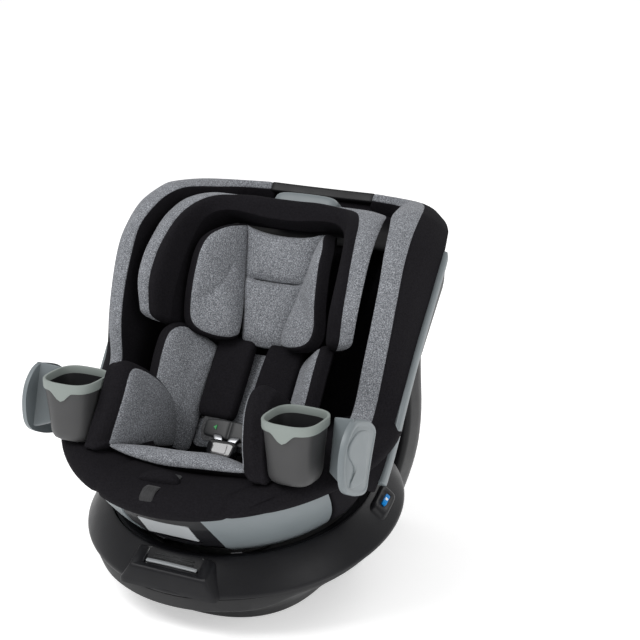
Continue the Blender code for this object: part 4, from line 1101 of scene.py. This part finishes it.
def build_levels():
    """Level lenses: a raised seat, the blue lens in it, and its white mark."""
    layers = ((1.3, -0.008), (1.18, -0.001), (0.98, 0.003), (0.86, 0.0046), (0.6, 0.0046), (0.54, 0.0034))
    seat_rows = level_rows(0.027, 0.0125, 0.45, layers)
    lens_rows = level_rows(0.0115, 0.0036, 0.35, ((1.0, 0.003), (1.0, 0.0058), (0.9, 0.0068), (0.5, 0.007)))
    mark_rows = level_rows(0.0026, 0.0022, 0.5, ((1.0, 0.006), (1.0, 0.0073), (0.8, 0.0076)))

    both_sides("level_seat_", seat_rows, DECK_BLACK, frame_of=DECK, body="base", subdivide=1)

    both_sides("level_lens_", lens_rows, BLUE, "level_indicator_", frame_of=DECK,
               body="base", sharp=60)

    both_sides("level_mark_", mark_rows, WHITE_MARK, frame_of=DECK, body="base", sharp=60)


def build_lever_pod():
    """A raised trapezoid whose top opens into the glossy well of the rotation lever."""
    outside = [(-0.001, 0.074, -0.224, -0.186), (0.003, 0.0735, -0.224, -0.186),
               (0.006, 0.0725, -0.2235, -0.186), (0.023, 0.06, -0.2185, -0.186),
               (0.0265, 0.058, -0.2165, -0.1862), (0.0275, 0.055, -0.214, -0.1865)]
    well = [(0.0278, 0.0425, -0.2088, -0.1872), (0.0262, 0.0415, -0.208, -0.1874),
            (0.01, 0.041, -0.206, -0.1876)]
    rows = []
    for h, half, front, rear in outside + well:
        middle_y, deep = (front + rear) / 2, (rear - front) / 2
        corner = 0.16 if h < 0.02 else 0.12
        row = []
        for u, v in round_section(1.0, 1.0, corner, 5):
            climb = 0.0115 * (v + 1) / 2 * min(1.0, max(0.0, (h - 0.006) / 0.017))
            x, y = u * half, middle_y + v * deep
            on_deck = 0.0238 + 0.016 * min(1.0, (0.208 - sqrt(x * x + y * y)) / 0.019)
            row.append((x, y, on_deck if h == 0.01 else h + climb))
        rows.append(row)
    tones = [0] * len(outside) + [1] * (len(well) - 1)
    piece = lathe_free("lever_pod", rows, [DECK_BLACK, GLOSS_BLACK], "base", ("lever_pod",), DECK, 1, 0, 60,
                       tones)

    line = [(x, -0.2035, 0.0295 + 0.0006 * (1 - (x / 0.038) ** 2)) for x in (-0.0385, -0.037, -0.02, 0.0,
                                                                             0.02, 0.037, 0.0385)]
    rows = []
    for x, y, z in line:
        rows.append([(x, y + 0.0026 * v, z + 0.0016 * u) for u, v in round_section(1.0, 1.0, 0.5, 4)])
    piece = lathe_free("rotation_lever", rows, [HANDLE_GREY], "rotation_lever", ("rotation_lever",), DECK, 1,
                       1, None)
    for name, y, z in (("lever_rib_upper", -0.1945, 0.0362), ("lever_rib_lower", -0.1985, 0.0332)):
        rows = []
        for x in (-0.03, -0.029, 0.029, 0.03):
            rows.append([(x, y + 0.0009 * v, z + 0.0009 * u) for u, v in round_section(1.0, 1.0, 0.8, 3)])
        piece = lathe_free(name, rows, [BUCKLE_GREY], "rotation_lever", (), DECK, 1, 1, None)


def build_tray():
    """Tray under the deck, with a well for the turntable."""
    def deck_loop(radius_of, height_of, count=144):
        row = []
        for k in range(count):
            turn = 2 * pi * k / count
            f = (1 + sin(turn)) / 2
            row.append(DECK @ Vector((radius_of(f) * cos(turn), radius_of(f) * sin(turn), height_of(f))))
        return row

    def floor_loop(half, front, rear, z, count=144, power=2.6):
        row = []
        for k in range(count):
            turn = 2 * pi * k / count
            c, d = cos(turn), sin(turn)
            row.append(Vector((half * (1 + 0.5 * max(0.0, d)) * abs(c) ** (2 / power) * (1 if c >= 0 else -1),
                               abs(d) ** (2 / power) * (rear if d >= 0 else front), z)))
        return row

    def skirt(f):
        """Lower edge of the skirt: deep at the front, shallow along the sides, deep again under the arm."""
        for (f0, h0), (f1, h1) in zip(SKIRT, SKIRT[1:]):
            if f <= f1:
                t = (f - f0) / (f1 - f0)
                return h0 + (h1 - h0) * t * t * (3 - 2 * t)
        return SKIRT[-1][1]

    rows = [floor_loop(0.115, -0.142, 0.186, 0.0), floor_loop(0.1185, -0.146, 0.189, 0.0004),
            floor_loop(0.1205, -0.148, 0.191, 0.0025), floor_loop(0.124, -0.1515, 0.194, 0.012),
            deck_loop(lambda f: 0.208 - 0.022 * f, lambda f: skirt(f) - 0.005),
            deck_loop(lambda f: 0.2125 - 0.022 * f, lambda f: skirt(f) - 0.0035),
            deck_loop(lambda f: 0.2195 - 0.0222 * f, skirt),
            deck_loop(lambda f: 0.2222 - 0.0218 * f, lambda f: skirt(f) + 0.0025),
            deck_loop(lambda f: 0.224 - 0.018 * f, lambda f: -0.008 - 0.005 * f),
            deck_loop(lambda f: 0.2238 - 0.018 * f, lambda f: -0.0044),
            deck_loop(lambda f: 0.2224 - 0.018 * f, lambda f: -0.0036)]
    for r in (0.195, 0.17, 0.15, 0.12, 0.085, 0.05, 0.02):
        rows.append(deck_loop(lambda f: r, lambda f: min(-0.0036, PIVOT_RISE - sqrt(0.2515 ** 2 - r * r))))
    piece = lathe_free("base_tray", rows, [TRAY_BLACK], "base", ("base_tray",), WORLD, 1, 0, 40)


def build_arm():
    """Arm behind the seat, with its cap and the ribbed panel in its front."""
    def arm_loop(z, front, rear, half, corner=0.024, count=12):
        horn = front - 0.016 * half / 0.15
        corners = [(-half * 0.94, rear), (-half, front * 0.45 + rear * 0.55), (-half, horn),
                   (-half * 0.8, horn + 0.003),
                   (-half * 0.5, front), (half * 0.5, front), (half * 0.8, horn + 0.003), (half, horn),
                   (half, front * 0.45 + rear * 0.55), (half * 0.94, rear)]
        row = []
        for i, here in enumerate(corners):
            here = Vector(here)
            before, after = Vector(corners[i - 1]) - here, Vector(corners[(i + 1) % len(corners)]) - here
            reach = min(corner, 0.42 * before.length, 0.42 * after.length)
            start, end = here + before.normalized() * reach, here + after.normalized() * reach
            for k in range(count + 1):
                t = k / count
                p = start * (1 - t) ** 2 + here * 2 * t * (1 - t) + end * t * t
                row.append((p.x, p.y, z))
        return row

    def arm_rows(stations, steps):
        rows = []
        for k in range(steps):
            p = catmull([Vector(st) for st in stations], k / (steps - 1))
            rows.append(p)
        return rows

    shell = [(0.0, 0.2, 0.274, 0.105), (0.02, 0.202, 0.287, 0.12), (0.1, 0.22, 0.293, 0.145),
             (0.17, 0.238, 0.2955, 0.152), (0.25, 0.251, 0.3055, 0.144), (0.32, 0.27, 0.3215, 0.136),
             (0.39, 0.289, 0.3385, 0.127)]
    rows = [arm_loop(*p) for p in arm_rows(shell, 30)]
    piece = lathe_free("arm_shell", rows, [ARM_BLACK], "base", ("arm_shell",), WORLD, 1, 0, 45)
    cap = [(0.3903, 0.2885, 0.339, 0.1274), (0.415, 0.295, 0.343, 0.1215), (0.44, 0.303, 0.3438, 0.109),
           (0.455, 0.309, 0.341, 0.095), (0.4625, 0.315, 0.336, 0.079), (0.464, 0.319, 0.331, 0.066)]
    rows = [arm_loop(*p) for p in arm_rows(cap, 18)]
    piece = lathe_free("arm_cap", rows, [GLOSS_BLACK], "base", ("arm_cap",), WORLD, 1, 0, 45)
    rows = []
    for k in range(61):
        z = 0.186 + 0.1915 * k / 60
        face = catmull([Vector((0, y, w)) for w, y, _, _ in shell[3:]], max(0.0, (z - 0.17)) / 0.22).y
        proud = 0.003 + (0.0012 if 4 < k < 56 and k % 4 < 2 else 0.0)
        rows.append([(x, face + y, z) for x, y in ((-0.0615, 0.0055), (-0.0615, -0.001), (-0.059, -proud),
                                                   (0.0, -proud),
                                                   (0.059, -proud), (0.0615, -0.001), (0.0615, 0.0055),
                                                   (0.0, 0.0055))])
    piece = lathe_free("arm_belt_panel", rows, [BELT_PANEL], "base", ("arm_belt_panel",), WORLD, 1, 0, 30)


def build_back_shell():
    """Hard rear shell with its ribs."""
    outer = [(0.23, -0.045, 0.24, 0.055, 0.074), (0.224, -0.048, 0.275, 0.072, 0.1),
             (0.213, -0.0505, 0.3, 0.078, 0.12), (0.2, -0.052, 0.318, 0.082, 0.137),
             (0.185, -0.0535, 0.321, 0.08, 0.15), (0.168, -0.048, 0.312, 0.07, 0.157),
             (0.148, -0.035, 0.295, 0.06, 0.1598)]

    def loop(half, low, high, corner, y, shrink=0.0):
        half, low, high, corner = half - shrink, low + shrink, high - shrink, corner - shrink
        row = []
        for cx, cz, start in ((1, 1, 0), (-1, 1, 90), (-1, -1, 180), (1, -1, 270)):
            for k in range(13):
                turn = radians(start + 90 * k / 12)
                lean = 0.97 if cz < 0 else 1.0
                row.append((cx * (half * lean - corner) + corner * cos(turn),
                            y, (high - corner if cz > 0 else low + corner) + corner * sin(turn)))
        return row

    def dense(stations, steps):
        return [catmull([Vector(st[:4]) for st in stations], k / (steps - 1)).to_tuple() +
                (catmull([Vector((st[4], 0, 0)) for st in stations],
                         k / (steps - 1)).x,) for k in range(steps)]

    outside = dense(outer, 22)
    rows = [loop(0.03, 0.08, 0.18, 0.03, 0.16), loop(0.1, 0.01, 0.25, 0.05, 0.16)]
    rows += [loop(*st) for st in reversed(outside)]
    rows += [loop(*st[:4], st[4] - (0.004 if st[4] > 0.09 else 0.0), 0.004) for st in outside]
    rows += [loop(0.1, 0.01, 0.25, 0.05, 0.1555), loop(0.03, 0.08, 0.18, 0.03, 0.1555)]
    piece = lathe_free("back_shell", rows, [ARM_BLACK], "seat", ("back_shell",), SEAT, 1, 0, 50)

    # Recessed ribs across the rear of the shell.
    for n, z in enumerate((0.01, 0.05, 0.09, 0.13, 0.17, 0.21, 0.25)):
        half = 0.118 - 0.01 * abs(n - 3)
        rows = []
        for x in (-half, -half + 0.0015, half - 0.0015, half):
            small = 0.4 if abs(x) == half else 1.0
            rows.append([(x, 0.1605 + 0.0012 * v * small, z + 0.005 * u * small) for u,
                         v in round_section(1.0, 1.0, 0.6, 3)])
        piece = lathe_free("back_rib_%d" % (n + 1), rows, [ARM_BLACK], "seat", (), SEAT, 1, 1, None)


build_wings()
build_headrest()
build_headrest_liner()
build_bolsters()
build_hem()
build_insert_pads()
build_seat_cushions()
build_apron()
build_adjuster()
build_side_panels()
build_harness()
build_cups()
build_guides()
build_trim()
build_top()
build_deck()
build_levels()
build_lever_pod()
build_tray()
build_arm()
build_back_shell()
inflate()

# ---- carried-over CAD nodes -------------------------------------------------------------------------
FINISH = {
    TRAY_BLACK: "base_tray",
    DECK_BLACK: "base_deck lever_pod turntable_dish seat_bowl front_panel",
    ARM_BLACK: "arm_shell back_shell headrest_core",
    GLOSS_BLACK: "arm_cap chest_clip_button buckle_button adjuster_button",
    BELT_PANEL: "arm_belt_panel",
    RUBBER: "foot_pad_front foot_pad_rear_left foot_pad_rear_right",
    STEEL: "turntable_bearing swivel_spindle rotation_lock_pin recline_rail_left recline_rail_right",
    HANDLE_GREY: "rotation_lever recline_handle",
    SHELL_GREY: "side_panel_left side_panel_right side_trim_left side_trim_right belt_guide_left "
                "belt_guide_right headrest_lever",
    BLACK: "seat_apron back_pad seat_pad shoulder_pad_left shoulder_pad_right",
    WEBBING: "shoulder_strap_left shoulder_strap_right adjuster_strap",
    BUCKLE_GREY: "chest_clip buckle harness_adjuster",
    CUP_BODY: "cup_holder_left cup_holder_right",
    CUP_RIM: "cup_ring_left cup_ring_right",
    BLUE: "level_indicator_left level_indicator_right",
}
for tone, nodes in FINISH.items():
    for node in nodes.split():
        frame["nodes"][node].data.materials.clear()
        frame["nodes"][node].data.materials.append(tone)
